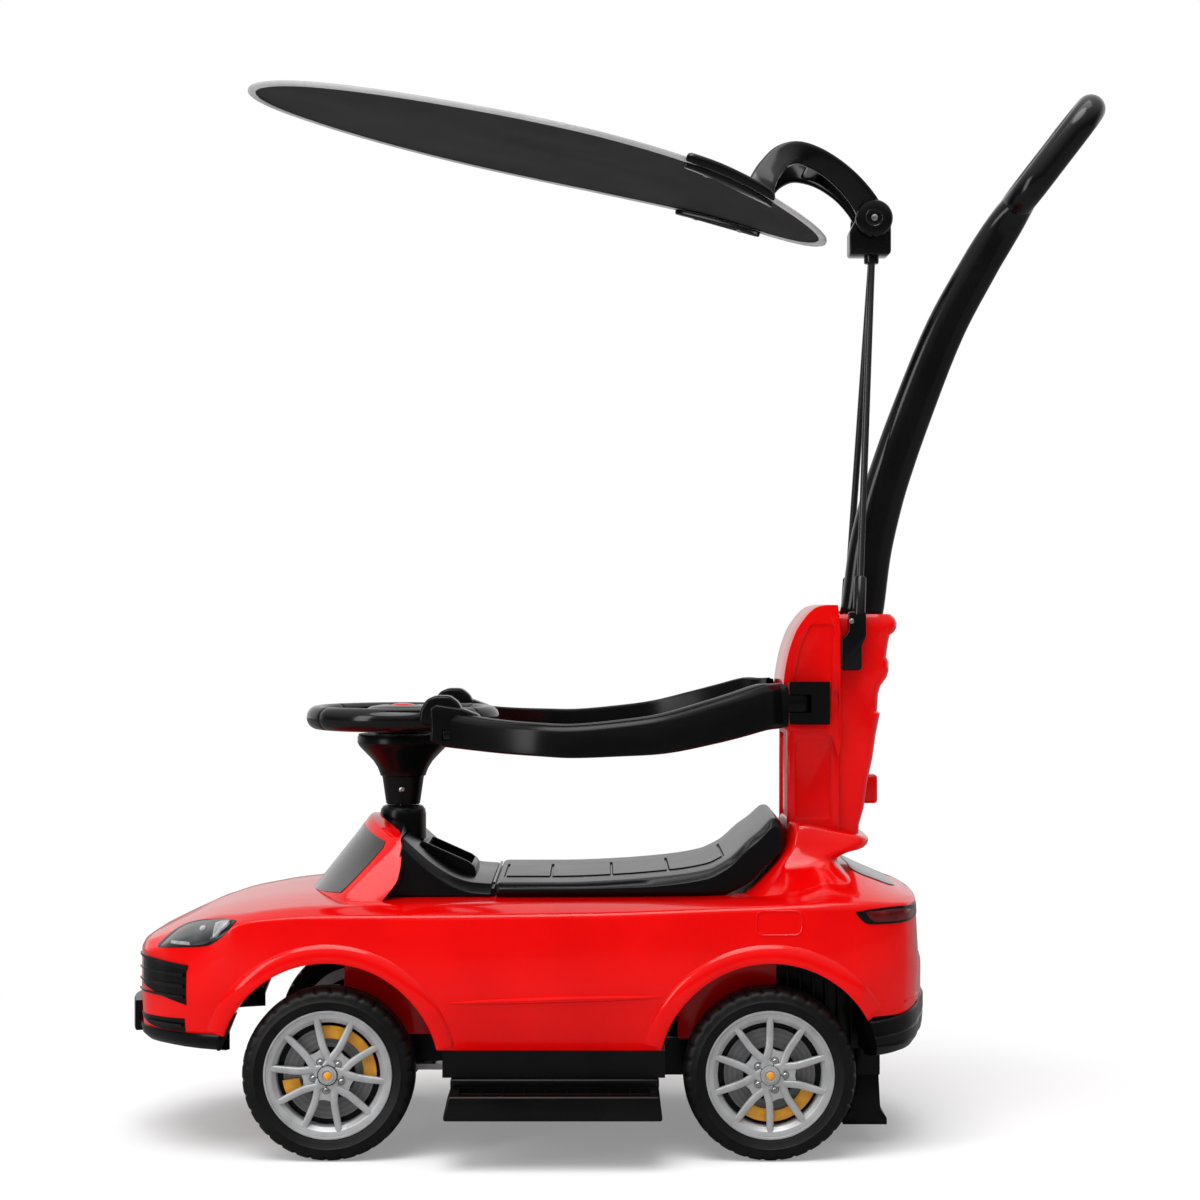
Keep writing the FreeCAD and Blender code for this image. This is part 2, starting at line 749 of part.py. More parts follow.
def brake_disc(name):
    """A plate pressed into the barrel behind the spokes."""
    face = "rim_width / 2 - spoke_thickness - disc_inset"
    return turned_body(name, [
        ("hub_radius", face + " - disc_thickness"), ("rim_lip", face + " - disc_thickness"),
        ("rim_lip", face), ("hub_radius", face),
    ])


def tyre_ring(name):
    return turned_body(name, share_outline(TYRE_SHARES, "rim_radius", "wheel_radius - rim_radius", "0", "tyre_width"))


for row_name, axle in (("front", "front_axle"), ("rear", REAR_AXLE)):
    for side, sign, turn in (("left", "-", QUARTER_TURN), ("right", "", -QUARTER_TURN)):
        corner_name = "%s_%s" % (row_name, side)
        for kind, make in (("tyre", tyre_ring), ("rim", spoked_rim), ("brake_disc", brake_disc)):
            piece = make("%s_%s" % (kind, corner_name))
            place(piece, axle, sign + "wheel_offset", "wheel_radius", Rotation(X_AXIS, turn))
            node(piece, "%s_%s" % (kind, corner_name))


# Steering: knuckles on kingpins, a sliding tie rod, and the column with its crank

CRANK_END = "(column + arm_length)"
LINK_LINE = "(front_axle + arm_length)"


def knuckle(side):
    """A kingpin post with a stub axle outwards and a steering arm to the rear."""
    y = "-kingpin_offset"
    name = "knuckle_" + side
    post = upright(name + "_post", "front_axle", y, "knuckle_low", "knuckle_radius",
                   "beam_low - slide_gap - knuckle_low")
    pin = upright(name + "_pin", "front_axle", y, "knuckle_low", "kingpin_radius",
                  "beam_low + beam_height + slide_gap + kingpin_cap_height - knuckle_low")
    cap = upright(name + "_cap", "front_axle", y, "beam_low + beam_height + slide_gap", "kingpin_cap_radius",
                  "kingpin_cap_height")
    stub = crosswise_from(name + "_stub", "front_axle", "-" + AXLE_HALF, "wheel_radius", "axle_radius",
                          AXLE_HALF + " - kingpin_offset")
    nut = crosswise_from(name + "_nut", "front_axle", "-" + AXLE_HALF, "wheel_radius", "nut_radius",
                         "nut_thickness")
    shoulder = crosswise_from(name + "_shoulder", "front_axle", "-" + WHEEL_INNER, "wheel_radius", "nut_radius",
                              WHEEL_INNER + " - kingpin_offset")
    arm = box(name + "_arm", "front_axle", "-kingpin_offset - arm_width / 2", "knuckle_low", "arm_length",
              "arm_width", "arm_height")
    arm_end = upright(name + "_arm_end", LINK_LINE, y, "knuckle_low", "arm_width / 2", "arm_height")
    link_pin = upright(name + "_link_pin", LINK_LINE, y, "tie_low", "link_pin_radius",
                       "knuckle_low + arm_height - tie_low")
    return fused(name, post, pin, cap, stub, nut, shoulder, arm, arm_end, link_pin)


knuckle_left = node(knuckle("left"), "knuckle_left")
node(mirrored("knuckle_right", knuckle_left), "knuckle_right")


def link_slot(name, x, y):
    """A slot that lets a link pin swing fore and aft in the sliding tie rod."""
    reach = "(link_pin_radius + link_clearance)"
    return box(name, "%s - link_play - %s" % (x, reach), "%s - %s" % (y, reach), "tie_low - cut_overrun",
               "link_play + 2 * %s" % reach, "2 * %s" % reach, "tie_height + 2 * cut_overrun")


tie_bar = wide_box("tie_bar", LINK_LINE + " - tie_width / 2", "tie_low", "tie_width", "kingpin_offset + tie_end",
                   "tie_height")
tie_tongue = wide_box("tie_tongue", LINK_LINE, "tie_low", CRANK_END + " - " + LINK_LINE + " + tie_end",
                      "tie_width / 2", "tie_height")
node(cut("tie_rod", fused("tie_blank", tie_bar, tie_tongue),
         link_slot("slot_left", LINK_LINE, "-kingpin_offset"), link_slot("slot_right", LINK_LINE, "kingpin_offset"),
         link_slot("slot_crank", CRANK_END, "0")), "tie_rod")

shaft = upright("shaft", "column", "0", "knuckle_low", "shaft_radius", "shaft_top - knuckle_low")
crank = wide_box("crank", "column", "knuckle_low", "arm_length", "arm_width / 2", "pan_low - slide_gap - knuckle_low")
crank_end = upright("crank_end", CRANK_END, "0", "knuckle_low", "arm_width / 2", "pan_low - slide_gap - knuckle_low")
crank_pin = upright("crank_pin", CRANK_END, "0", "tie_low", "link_pin_radius", "pan_low - slide_gap - tie_low")
crank_root = upright("crank_root", "column", "0", "knuckle_low", "arm_width / 2 + shaft_radius / 2",
                     "pan_low - slide_gap - knuckle_low")
node(fused("steering_shaft", shaft, crank, crank_end, crank_pin, crank_root), "steering_shaft")

sleeve_outer = upright("sleeve_outer", "column", "0", "dash_base - cut_overrun", "sleeve_radius",
                       "sleeve_top - dash_base + cut_overrun")
sleeve_bore = upright("sleeve_bore", "column", "0", "dash_base - 2 * cut_overrun", "shaft_radius + running_gap",
                      "sleeve_top - dash_base + 3 * cut_overrun")
node(cut("column_sleeve", sleeve_outer, sleeve_bore), "column_sleeve")

BOSS_SHARES = [(0.365, 0.0), (0.365, 0.14), (0.5, 0.43), (1.0, 0.83), (1.0, 1.0)]
boss = turned_body("steering_boss", share_outline(BOSS_SHARES, "0", "boss_radius", "boss_low", "boss_height")
                   + [("shaft_radius", "boss_low + boss_height"), ("shaft_radius", "boss_low")])
node(place(boss, "column"), "steering_boss")

HUB_LOW = "(boss_low + boss_height)"
HUB_TOP = "(boss_low + boss_height + wheel_hub_height)"
grip = bind(doc.addObject("Part::Torus", "grip"), Radius1="rim_reach", Radius2="rim_tube")
place(grip, "column", "0", "rim_centre")
wheel_hub = upright("wheel_hub", "column", "0", HUB_LOW, "wheel_hub_radius", "wheel_hub_height")
side_spokes = wide_box("side_spokes", "column - wheel_spoke_width / 2", "rim_centre - wheel_spoke_thickness / 2",
                       "wheel_spoke_width", "rim_reach", "wheel_spoke_thickness")
rear_spoke = wide_box("rear_spoke", "column", "rim_centre - wheel_spoke_thickness / 2", "rim_reach",
                      "wheel_spoke_width / 2", "wheel_spoke_thickness")
horn_well = upright("horn_well", "column", "0", HUB_TOP + " - horn_height + horn_proud - horn_travel - slide_gap",
                    "horn_radius + slide_gap", "horn_height + horn_travel")
node(cut("steering_wheel", fused("wheel_blank", grip, wheel_hub, side_spokes, rear_spoke), horn_well),
     "steering_wheel")
node(upright("horn_button", "column", "0", HUB_TOP + " - horn_height + horn_proud", "horn_radius", "horn_height"),
     "horn_button")

# Dash console with an open tray, fitted round the column sleeve
DASH_SHARES = [(0.01, 0.0), (0.01, 1.0), (0.38, 0.5), (0.62, 0.29), (0.79, 0.22), (1.0, 0.205), (1.0, 0.0)]
TRAY_SHARES = [(0.16, 0.0), (0.16, 0.85), (0.71, 0.47), (0.79, 0.22), (0.79, 0.0)]
DASH_SPAN = ("cowl_rear", "dash_rear - cowl_rear", "dash_base", "dash_rise")
dash_block = profile_body("dash_block", "XZ_Plane", share_outline(DASH_SHARES, *DASH_SPAN), "2 * dash_half")
tray_block = profile_body("tray_block", "XZ_Plane", share_outline(TRAY_SHARES, *DASH_SPAN), "2 * tray_half")
tray_space = wide_box("tray_space", "column + sleeve_radius + tray_wall", "tray_floor",
                      "dash_rear - column - sleeve_radius - 5 * tray_wall", "tray_half - tray_wall", "dash_rise")
sleeve_space = upright("sleeve_space", "column", "0", "dash_base - cut_overrun", "sleeve_radius",
                       "dash_rise + 2 * cut_overrun")
node(cut("dash_console", fused("dash_blank", dash_block, tray_block), tray_space, sleeve_space), "dash_console")

# Seat: the lid of the bin, hinged along its front edge
SEAT_SHARES = [
    (0.0, 0.0), (0.0, 0.16), (0.406, 0.187), (0.61, 0.253), (0.73, 0.333), (0.81, 0.493), (0.867, 0.707),
    (0.92, 0.867), (0.952, 1.0), (0.98, 0.96), (1.0, 0.787), (0.99, 0.547), (0.915, 0.32), (0.877, 0.16), (0.8, 0.0),
]
SEAT_PLAN_SHARES = [(0.0, -1.0), (0.74, -1.0), (0.9, -0.88), (1.0, -0.78), (1.0, 0.78), (0.9, 0.88), (0.74, 1.0),
                    (0.0, 1.0)]


def seat_form(name, inset):
    """The seat's side outline trimmed by its plan, both drawn in and down by an inset."""
    across = ("seat_front + %s" % inset, "seat_length - 2 * (%s)" % inset)
    side = profile_body(name + "_side", "XZ_Plane",
                        share_outline(SEAT_SHARES, *across, "seat_base - %s" % inset, "seat_rise"), "3 * seat_half")
    plan = profile_body(name + "_plan", "XY_Plane",
                        share_outline(SEAT_PLAN_SHARES, *across, "0", "seat_half - (%s)" % inset),
                        "3 * (seat_base + seat_rise)")
    return common(name, side, plan)


node(cut("seat", seat_form("seat_blank", "0 * seat_wall"), seat_form("seat_hollow", "seat_wall")), "seat")
node(crosswise("seat_hinge_pin", "(seat_front + dash_rear) / 2", "seat_pin_height", "seat_pin_radius",
               "seat_pin_half"), "seat_hinge_pin")


# Push handle: a straight tongue in the sleeve, a curved oval shaft and a hand loop

# Along, up and thickness of the shaft's stations
HANDLE_SHARES = [
    (0.0, 0.0, 1.0), (0.044, 0.129, 1.0), (0.1, 0.228, 1.0), (0.1625, 0.3125, 0.98), (0.3, 0.465, 0.96),
    (0.5375, 0.694, 0.92), (0.775, 0.863, 0.88), (1.0, 1.0, 0.85),
]


def oval(middle, along, fore, side):
    """An oval outline square to a direction in the car's middle plane."""
    forward = Y_AXIS.cross(along).normalize()
    wide, narrow = (forward, Y_AXIS) if fore > side else (Y_AXIS, forward)
    ellipse = Part.Ellipse(middle + wide * max(fore, side), middle + narrow * min(fore, side), middle)
    return Part.Wire(ellipse.toShape())


def lean(angle):
    return Vector(math.sin(math.radians(angle)), 0, math.cos(math.radians(angle)))


def handle_base():
    """Where the shaft sits on top of the backrest."""
    return Vector(size["handle_seat"], 0, size["back_base"] + size["back_rise"] + 2 * size["body_gap"])


def tongue_solid(clearance):
    """The straight lower end of the handle, or its bore when given a clearance."""
    along = lean(size["handle_tilt"])
    top = handle_base()
    over = along * (size["cut_overrun"] if clearance else 0)
    ends = [top - along * size["tongue_length"] - along * clearance, top + over]
    fore = size["tongue_fore"] + clearance
    side = size["tongue_side"] + clearance
    return Part.makeLoft([oval(end, along, fore, side) for end in ends], True, True)


def handle_shaft():
    base = handle_base()
    reach = size["handle_reach"]
    rise = size["handle_rise"]
    path = [base + Vector(along * reach, 0, up * rise) for along, up, thick in HANDLE_SHARES]
    sections = []
    for index, (along, up, thick) in enumerate(HANDLE_SHARES):
        before = path[max(index - 1, 0)]
        after = path[min(index + 1, len(path) - 1)]
        heading = lean(size["handle_tilt"]) if index == 0 else (after - before).normalize()
        sections.append(oval(path[index], heading, thick * size["handle_fore"], thick * size["handle_side"]))
    return Part.makeLoft(sections, True, True), path[-1]


def hand_loop(start):
    """A rounded loop of tube, lying across the car and leaning back with the handle."""
    along = lean(size["loop_lean"])
    half = size["loop_half"]
    low = start + along * half
    high = start + along * (size["loop_length"] - half)
    side = Y_AXIS * half
    edges = [
        Part.LineSegment(low - side, high - side).toShape(),
        Part.Arc(high - side, high + along * half, high + side).toShape(),
        Part.LineSegment(high + side, low + side).toShape(),
        Part.Arc(low + side, low - along * half, low - side).toShape(),
    ]
    circle = Part.Wire(Part.Circle(low - side, along, size["loop_tube"]).toShape())
    return Part.Wire(edges).makePipeShell([circle], True, False)


shaft_solid, shaft_end = handle_shaft()
node(coded("push_handle", tongue_solid(0).fuse(shaft_solid).fuse(hand_loop(shaft_end))), "push_handle")

# Backrest: a front shell, and the rear sleeve that takes the handle
BACK_SHARES = [(0.09, 0.0), (0.09, 0.415), (0.0, 0.52), (0.0, 0.71), (0.09, 0.815), (0.255, 0.905), (0.47, 0.965),
               (0.64, 1.0)]
SLEEVE_SHARES = [(0.32, 1.0), (0.32, 0.978), (1.0, 0.978), (1.0, 0.93), (0.91, 0.89), (0.83, 0.776), (0.68, 0.586),
                 (0.61, 0.396), (0.47, 0.202), (0.38, 0.138), (0.52, 0.085), (0.47, 0.066), (0.21, 0.028), (0.21, 0.0)]
SPLIT_TOP = ("back_front + back_depth", "back_base + back_rise")
SPLIT_LOW = ("back_front + back_depth - back_split_lean", "back_base")
back_block = profile_body("back_block", "XZ_Plane",
                          share_outline(BACK_SHARES, "back_front", "back_depth", "back_base", "back_rise")
                          + [SPLIT_TOP, SPLIT_LOW], "2 * back_half")
BACK_HOLLOW_SHARES = [(0.2, 0.02), (0.2, 0.42), (0.1, 0.53), (0.1, 0.7), (0.19, 0.79), (0.35, 0.88), (0.56, 0.94),
                      (1.2, 0.96), (0.6, 0.02)]
back_hollow = profile_body("back_hollow", "XZ_Plane",
                           share_outline(BACK_HOLLOW_SHARES, "back_front", "back_depth", "back_base", "back_rise"),
                           "2 * (back_half - back_wall)")
node(cut("backrest_front", back_block, back_hollow), "backrest_front")
sleeve_block = profile_body("sleeve_block", "XZ_Plane",
                            [SPLIT_LOW, SPLIT_TOP]
                            + share_outline(SLEEVE_SHARES, "back_front + back_depth", "back_sleeve_depth",
                                            "back_base", "back_rise"), "2 * back_sleeve_half")
BUTTON_LOW = "(back_base + back_rise + 2 * body_gap - button_drop)"
button_space = wide_box("button_space", "button_rear - button_length - button_travel - slide_gap",
                        BUTTON_LOW + " - slide_gap", "button_length + button_travel + cut_overrun",
                        "button_half + slide_gap", "button_height + 2 * slide_gap")
handle_bore = coded("handle_bore", tongue_solid(size["slide_gap"]))
SLEEVE_HOLLOW_SHARES = [(-0.5, 0.04), (0.18, 0.04), (0.3, 0.16), (0.4, 0.21), (0.52, 0.4), (0.6, 0.6), (0.74, 0.78),
                        (0.8, 0.88), (0.86, 0.94), (-0.1, 0.94)]
pocket_left = box("pocket_left", "back_front", "-back_sleeve_half + back_wall", "back_base",
                  "back_depth + back_sleeve_depth", "back_sleeve_half - back_wall - sleeve_core", "back_rise")
pockets = fused("pockets", pocket_left, mirrored("pocket_right", pocket_left))
sleeve_hollow = profile_body("sleeve_hollow", "XZ_Plane",
                             share_outline(SLEEVE_HOLLOW_SHARES, "back_front + back_depth", "back_sleeve_depth",
                                           "back_base", "back_rise"), "2 * back_sleeve_half")
node(cut("backrest_rear", sleeve_block, handle_bore, button_space, common("sleeve_pockets", pockets, sleeve_hollow)),
     "backrest_rear")
node(wide_box("handle_button", "button_rear - button_length", BUTTON_LOW, "button_length", "button_half",
              "button_height"), "handle_button")


# Guard arms: swinging out from brackets on the backrest, each with a latch button

# Along, outwards, drop and height of the arm's stations
GUARD_SHARES = [
    (0.081, 0.067, 0.14, 0.98), (0.123, 0.278, 0.17, 1.0), (0.286, 0.722, 0.586, 0.935), (0.425, 0.944, 0.862, 0.85),
    (0.56, 1.0, 0.95, 0.77), (0.696, 1.0, 1.0, 0.72), (0.79, 0.93, 0.95, 0.7), (0.8825, 0.755, 0.9, 0.7),
    (0.976, 0.51, 0.83, 0.72), (1.063, 0.22, 0.76, 0.8),
]
GUARD_ROOT_SHARE = 0.123


def guard_sweep():
    """The curved arm of the left guard, an upright bar through its stations."""
    path = [
        Vector(size["guard_pivot"] - along * size["guard_reach"],
               -size["guard_pivot_offset"] - out * size["guard_bulge"], 0)
        for along, out, drop, tall in GUARD_SHARES
    ]
    sections = []
    for index, (along, out, drop, tall) in enumerate(GUARD_SHARES):
        before = path[max(index - 1, 0)]
        after = path[min(index + 1, len(path) - 1)]
        side = (after - before).normalize().cross(Z_AXIS) * (size["guard_thickness"] / 2)
        low = Z_AXIS * (size["bracket_low"] - drop * size["guard_drop"])
        high = low + Z_AXIS * (tall * size["guard_height"])
        middle = path[index]
        sections.append([middle - side + low, middle + side + low, middle + side + high, middle - side + high])
    return ruled_loft(sections)


tongue_pivot = upright("tongue_pivot", "guard_pivot", "-guard_pivot_offset", "tongue_low", "tongue_radius",
                       "tongue_height")
tongue_bar = box("tongue_bar", "guard_pivot - %s * guard_reach" % GUARD_ROOT_SHARE,
                 "-guard_pivot_offset - tongue_radius", "tongue_low",
                 "%s * guard_reach" % GUARD_ROOT_SHARE, "2 * tongue_radius", "tongue_height")
guard_head = box("guard_head", "guard_head_front", "-guard_head_inner - guard_head_width", "guard_head_low",
                 "guard_head_length", "guard_head_width", "guard_head_height")
guard_blank = fused("guard_blank", coded("guard_sweep", guard_sweep()), tongue_pivot, tongue_bar, guard_head)
guard_bore = upright("guard_bore", "guard_pivot", "-guard_pivot_offset", "tongue_low - cut_overrun",
                     "guard_pin_radius + running_gap", "tongue_height + 2 * cut_overrun")
latch_well = box("latch_well", "latch_front - slide_gap", "-guard_head_inner - guard_head_width - cut_overrun",
                 "latch_low - slide_gap", "latch_length + 2 * slide_gap",
                 "latch_depth + latch_travel + slide_gap + cut_overrun", "latch_height + 2 * slide_gap")
guard_left = node(cut("guard_arm_left", guard_blank, guard_bore, latch_well), "guard_arm_left")
node(mirrored("guard_arm_right", guard_left), "guard_arm_right")
latch_left = node(box("guard_button_left", "latch_front", "-guard_head_inner - guard_head_width", "latch_low",
                      "latch_length", "latch_depth", "latch_height"), "guard_button_left")
node(mirrored("guard_button_right", latch_left), "guard_button_right")

bracket_block = box("bracket_block", "bracket_front", "-bracket_outer", "bracket_low", "bracket_length",
                    "bracket_outer - back_half", "bracket_height")
bracket_slot = box("bracket_slot", "bracket_front - cut_overrun", "-bracket_outer - cut_overrun",
                   "tongue_low - slide_gap", "guard_pivot + tongue_radius + body_gap - bracket_front + cut_overrun",
                   "bracket_outer + cut_overrun - guard_pivot_offset + tongue_radius + body_gap",
                   "tongue_height + 2 * slide_gap")
bracket_pin = upright("bracket_pin", "guard_pivot", "-guard_pivot_offset", "bracket_low", "guard_pin_radius",
                      "bracket_height")
bracket_left = fused("bracket_left", cut("bracket_fork", bracket_block, bracket_slot), bracket_pin)
node(group("guard_brackets", bracket_left, mirrored("bracket_right", bracket_left)), "guard_brackets")


# Canopy support: sockets on the sleeve, two rods, and the tilting hinge block

def rod_line(side):
    """Foot of a rod in its socket and its head under the hinge block."""
    foot = Vector(size["socket_front"] + size["socket_length"] * ROD_PLACE_SHARE,
                  side * (size["back_sleeve_half"] + size["socket_depth"] / 2),
                  size["socket_low"] + size["socket_height"])
    head = Vector(size["hinge_x"], side * size["rod_top_spread"],
                  size["hinge_height"] - size["hinge_block_drop"] - size["collar_height"] - 2 * size["body_gap"])
    return foot, head


def rod_solid(side, radius, length_share=1.0):
    foot, head = rod_line(side)
    return Part.makeCylinder(radius, (head - foot).Length * length_share, foot, head - foot)


def socket_solid(side):
    """A block screwed to the sleeve with a tube that grips the rod."""
    depth = size["socket_depth"]
    inner = size["back_sleeve_half"]
    low = -inner - depth if side < 0 else inner
    block = Part.makeBox(size["socket_length"], depth, size["socket_height"],
                         Vector(size["socket_front"], low, size["socket_low"]))
    foot, head = rod_line(side)
    tube_share = (size["socket_tube_top"] - foot.z) / (head.z - foot.z)
    tube = rod_solid(side, size["socket_tube_radius"], tube_share)
    return block.fuse(tube).cut(rod_solid(side, size["rod_radius"]))


ROD_PLACE_SHARE = 0.72
SIDES = (-1, 1)
node(coded("canopy_sockets", Part.makeCompound([socket_solid(side) for side in SIDES])), "canopy_sockets")
node(coded("canopy_rods", Part.makeCompound([rod_solid(side, size["rod_radius"]) for side in SIDES])), "canopy_rods")

BOLT_HALF = "(hinge_block_half + slide_gap + lug_thickness + knob_thickness)"
HINGE_BLOCK_LOW = "(hinge_height - hinge_block_drop)"
hinge_block = wide_box("hinge_block", "hinge_x - hinge_block_depth / 2", HINGE_BLOCK_LOW, "hinge_block_depth",
                       "hinge_block_half", "hinge_block_drop")
hinge_boss = crosswise("hinge_boss", "hinge_x", "hinge_height", "hinge_boss_radius", "hinge_block_half")
collar = upright("collar", "hinge_x", "0", HINGE_BLOCK_LOW + " - collar_height", "collar_radius", "collar_height")
bolt_hole = crosswise("bolt_hole", "hinge_x", "hinge_height", "bolt_radius", BOLT_HALF)
node(cut("canopy_hinge_block", fused("hinge_blank", hinge_block, hinge_boss, collar), bolt_hole),
     "canopy_hinge_block")
node(crosswise("canopy_pivot_bolt", "hinge_x", "hinge_height", "bolt_radius", BOLT_HALF), "canopy_pivot_bolt")
turning_hole = crosswise("turning_hole", "hinge_x", "hinge_height", "bolt_radius + running_gap",
                         BOLT_HALF + " + cut_overrun")
knob_left = crosswise_from("knob_left", "hinge_x", "-" + BOLT_HALF, "hinge_height", "hinge_boss_radius",
                           "knob_thickness")
knobs = fused("knobs", knob_left, mirrored("knob_right", knob_left))
node(cut("canopy_knobs", knobs, turning_hole), "canopy_knobs")


# Canopy: a crowned oval of fabric in a bound edge, clamped to the yoke

def crowned_layer(thickness, lift):
    """A layer of the canopy's curve, lifted from the fabric's own level."""
    half = size["canopy_length"] / 2
    crown = size["canopy_crown"]
    radius = (half ** 2 + crown ** 2) / (2 * crown)
    reach = size["canopy_width"]
    shells = [
        Part.makeCylinder(each, 2 * reach, Vector(0, -reach, crown - radius), Y_AXIS)
        for each in (radius + lift, radius + lift - thickness)
    ]
    return shells[0].cut(shells[1])


def oval_column(inset):
    """An upright oval column over the canopy's outline."""
    long_half = size["canopy_length"] / 2 - inset
    short_half = size["canopy_width"] / 2 - inset
    tall = size["canopy_length"]
    outline = Part.Wire(Part.Ellipse(Vector(0, 0, -tall / 2), long_half, short_half).toShape())
    return Part.Face(outline).extrude(Z_AXIS * tall)


def canopy_placed(name, shape):
    """Puts a piece of the canopy at its tilt."""
    item = coded(name, shape)
    item.Placement = Placement(Vector(), Rotation(Y_AXIS, size["canopy_tilt"]))
    return bind(item, Placement__Rotation__Angle="canopy_tilt", Placement__Base__x="hinge_x - canopy_back",
                Placement__Base__z="hinge_height + canopy_lift")


def binding_solid():
    edge = oval_column(0).cut(oval_column(size["canopy_binding"]))
    lift = (size["canopy_binding_height"] - size["canopy_sheet"]) / 2
    return edge.common(crowned_layer(size["canopy_binding_height"], lift))


def clamp_solids():
    """Upper and lower plates of both side clamps, clear of the fabric and its binding."""
    length = size["clamp_length"]
    width = size["clamp_width"]
    tall = size["clamp_height"]
    lift = (tall - size["canopy_sheet"]) / 2
    blocks = [
        Part.makeBox(length, width, size["canopy_length"],
                     Vector(size["clamp_along"] - length / 2, side * size["clamp_offset"] - width / 2,
                            -size["canopy_length"] / 2))
        for side in SIDES
    ]
    layers = blocks[0].fuse(blocks[1]).common(crowned_layer(tall, lift))
    return layers.cut(crowned_layer(size["canopy_sheet"], 0)).cut(binding_solid())


fabric_shape = oval_column(size["canopy_binding"]).common(crowned_layer(size["canopy_sheet"], 0))
node(canopy_placed("canopy_fabric", fabric_shape), "canopy_fabric")
node(canopy_placed("canopy_ring", binding_solid()), "canopy_ring")
clamps = node(canopy_placed("canopy_clamps", clamp_solids()), "canopy_clamps")

# Back, outwards and up of the yoke's stations
YOKE_SHARES = [
    (0.0, 0.0, 0.0), (0.12, 0.04, 0.436), (0.325, 0.135, 0.743), (0.57, 0.25, 0.91), (0.77, 0.385, 0.852),
    (0.91, 0.635, 0.566), (0.985, 0.92, 0.217), (1.0, 1.0, 0.0),
]
YOKE_WEB_STATION = len(YOKE_SHARES) // 2 - 1


def yoke_end():
    """Where an arm goes into the upper clamp plate, behind the clamp's middle."""
    along = size["clamp_along"] + size["yoke_grip"]
    half = size["canopy_length"] / 2
    crown = size["canopy_crown"] * (1 - (along / half) ** 2)
    lift = crown + (size["clamp_height"] - size["canopy_sheet"]) / 2
    turned = Rotation(Y_AXIS, size["canopy_tilt"]).multVec(Vector(along, 0, lift))
    return turned + Vector(size["hinge_x"] - size["canopy_back"], 0, size["hinge_height"] + size["canopy_lift"])


def yoke_path(side):
    start = size["hinge_block_half"] + size["slide_gap"] + size["lug_thickness"] / 2
    spread = size["clamp_offset"] - start
    hinge = Vector(size["hinge_x"], 0, size["hinge_height"])
    reach = yoke_end() - hinge
    return [
        hinge + reach * back + Vector(0, side * (start + out * spread), up * size["yoke_rise"])
        for back, out, up in YOKE_SHARES
    ]


def yoke_arm(side):
    path = yoke_path(side)
    sections = []
    for index, middle in enumerate(path):
        before = path[max(index - 1, 0)]
        after = path[min(index + 1, len(path) - 1)]
        heading = after - before
        heading.y = 0
        across = heading.normalize().cross(Y_AXIS) * (size["yoke_width"] / 2)
        thick = Y_AXIS * ((size["lug_thickness"] if index == 0 else size["yoke_thickness"]) / 2)
        sections.append([middle - across - thick, middle + across - thick, middle + across + thick,
                         middle - across + thick])
    return ruled_loft(sections)


def yoke_web():
    """The bridge that ties the two arms at the top of their arch."""
    left, right = (yoke_path(side)[YOKE_WEB_STATION] for side in SIDES)
    wide = size["yoke_width"]
    thick = size["yoke_thickness"]
    corner = left - Vector(wide / 2, 0, thick / 2)
    return Part.makeBox(wide, (right - left).Length, thick, corner)


yoke_shape = yoke_arm(SIDES[0]).fuse(yoke_arm(SIDES[1])).fuse(yoke_web())
lug_left = crosswise_from("lug_left", "hinge_x", "-hinge_block_half - slide_gap - lug_thickness", "hinge_height",
                          "lug_radius", "lug_thickness")
yoke_blank = fused("yoke_blank", coded("yoke_arms", yoke_shape), lug_left, mirrored("lug_right", lug_left))
node(cut("canopy_yoke", yoke_blank, turning_hole, clamps, knobs), "canopy_yoke")


# Footrests: steps that push in under the sills, on rails in hanging guides

step_tread = box("step_tread", "step_front", "-step_outer", "step_low", "step_length", "step_outer - step_inner",
                 "step_height")
step_ledge = box("step_ledge_bar", "step_front", "-step_inner - step_ledge", "step_low + step_height", "step_length",
                 "step_ledge", "pan_low - slide_gap - step_low - step_height")
rail_places = ["step_front + rail_inset", "step_front + step_length - rail_inset - rail_width"]
step_rails = []
step_guides = []
GUIDE_OUTER = "(step_inner - step_travel - body_gap)"
for index, x in enumerate(rail_places):
    step_rails.append(box("step_rail_%d" % index, x, "-step_inner", "rail_low", "rail_width",
                          "step_inner - rail_reach", "rail_height"))
    guide_block = box("guide_block_%d" % index, x + " - guide_wall - slide_gap", "-" + GUIDE_OUTER,
                      "rail_low - guide_wall - slide_gap", "rail_width + 2 * (guide_wall + slide_gap)",
                      "guide_length", "pan_low - rail_low + guide_wall + slide_gap")
    guide_slot = box("guide_slot_%d" % index, x + " - slide_gap", "-step_inner", "rail_low - slide_gap",
                     "rail_width + 2 * slide_gap", "step_inner", "rail_height + 2 * slide_gap")
    guide = cut("guide_%d" % index, guide_block, guide_slot)
    step_guides += [guide, mirrored("guide_mirror_%d" % index, guide)]
step_hollow = box("step_hollow", "step_front + step_wall", "-step_outer + step_wall", "step_low - cut_overrun",
                  "step_length - 2 * step_wall", "step_outer - step_inner - 2 * step_wall",
                  "step_height - step_wall + cut_overrun")
step_shell = cut("step_shell", step_tread, step_hollow)
footrest_left = node(fused("footrest_left", step_shell, step_ledge, *step_rails), "footrest_left")
node(mirrored("footrest_right", footrest_left), "footrest_right")
node(group("footrest_guides", *step_guides), "footrest_guides")


# Check and write every sub-part

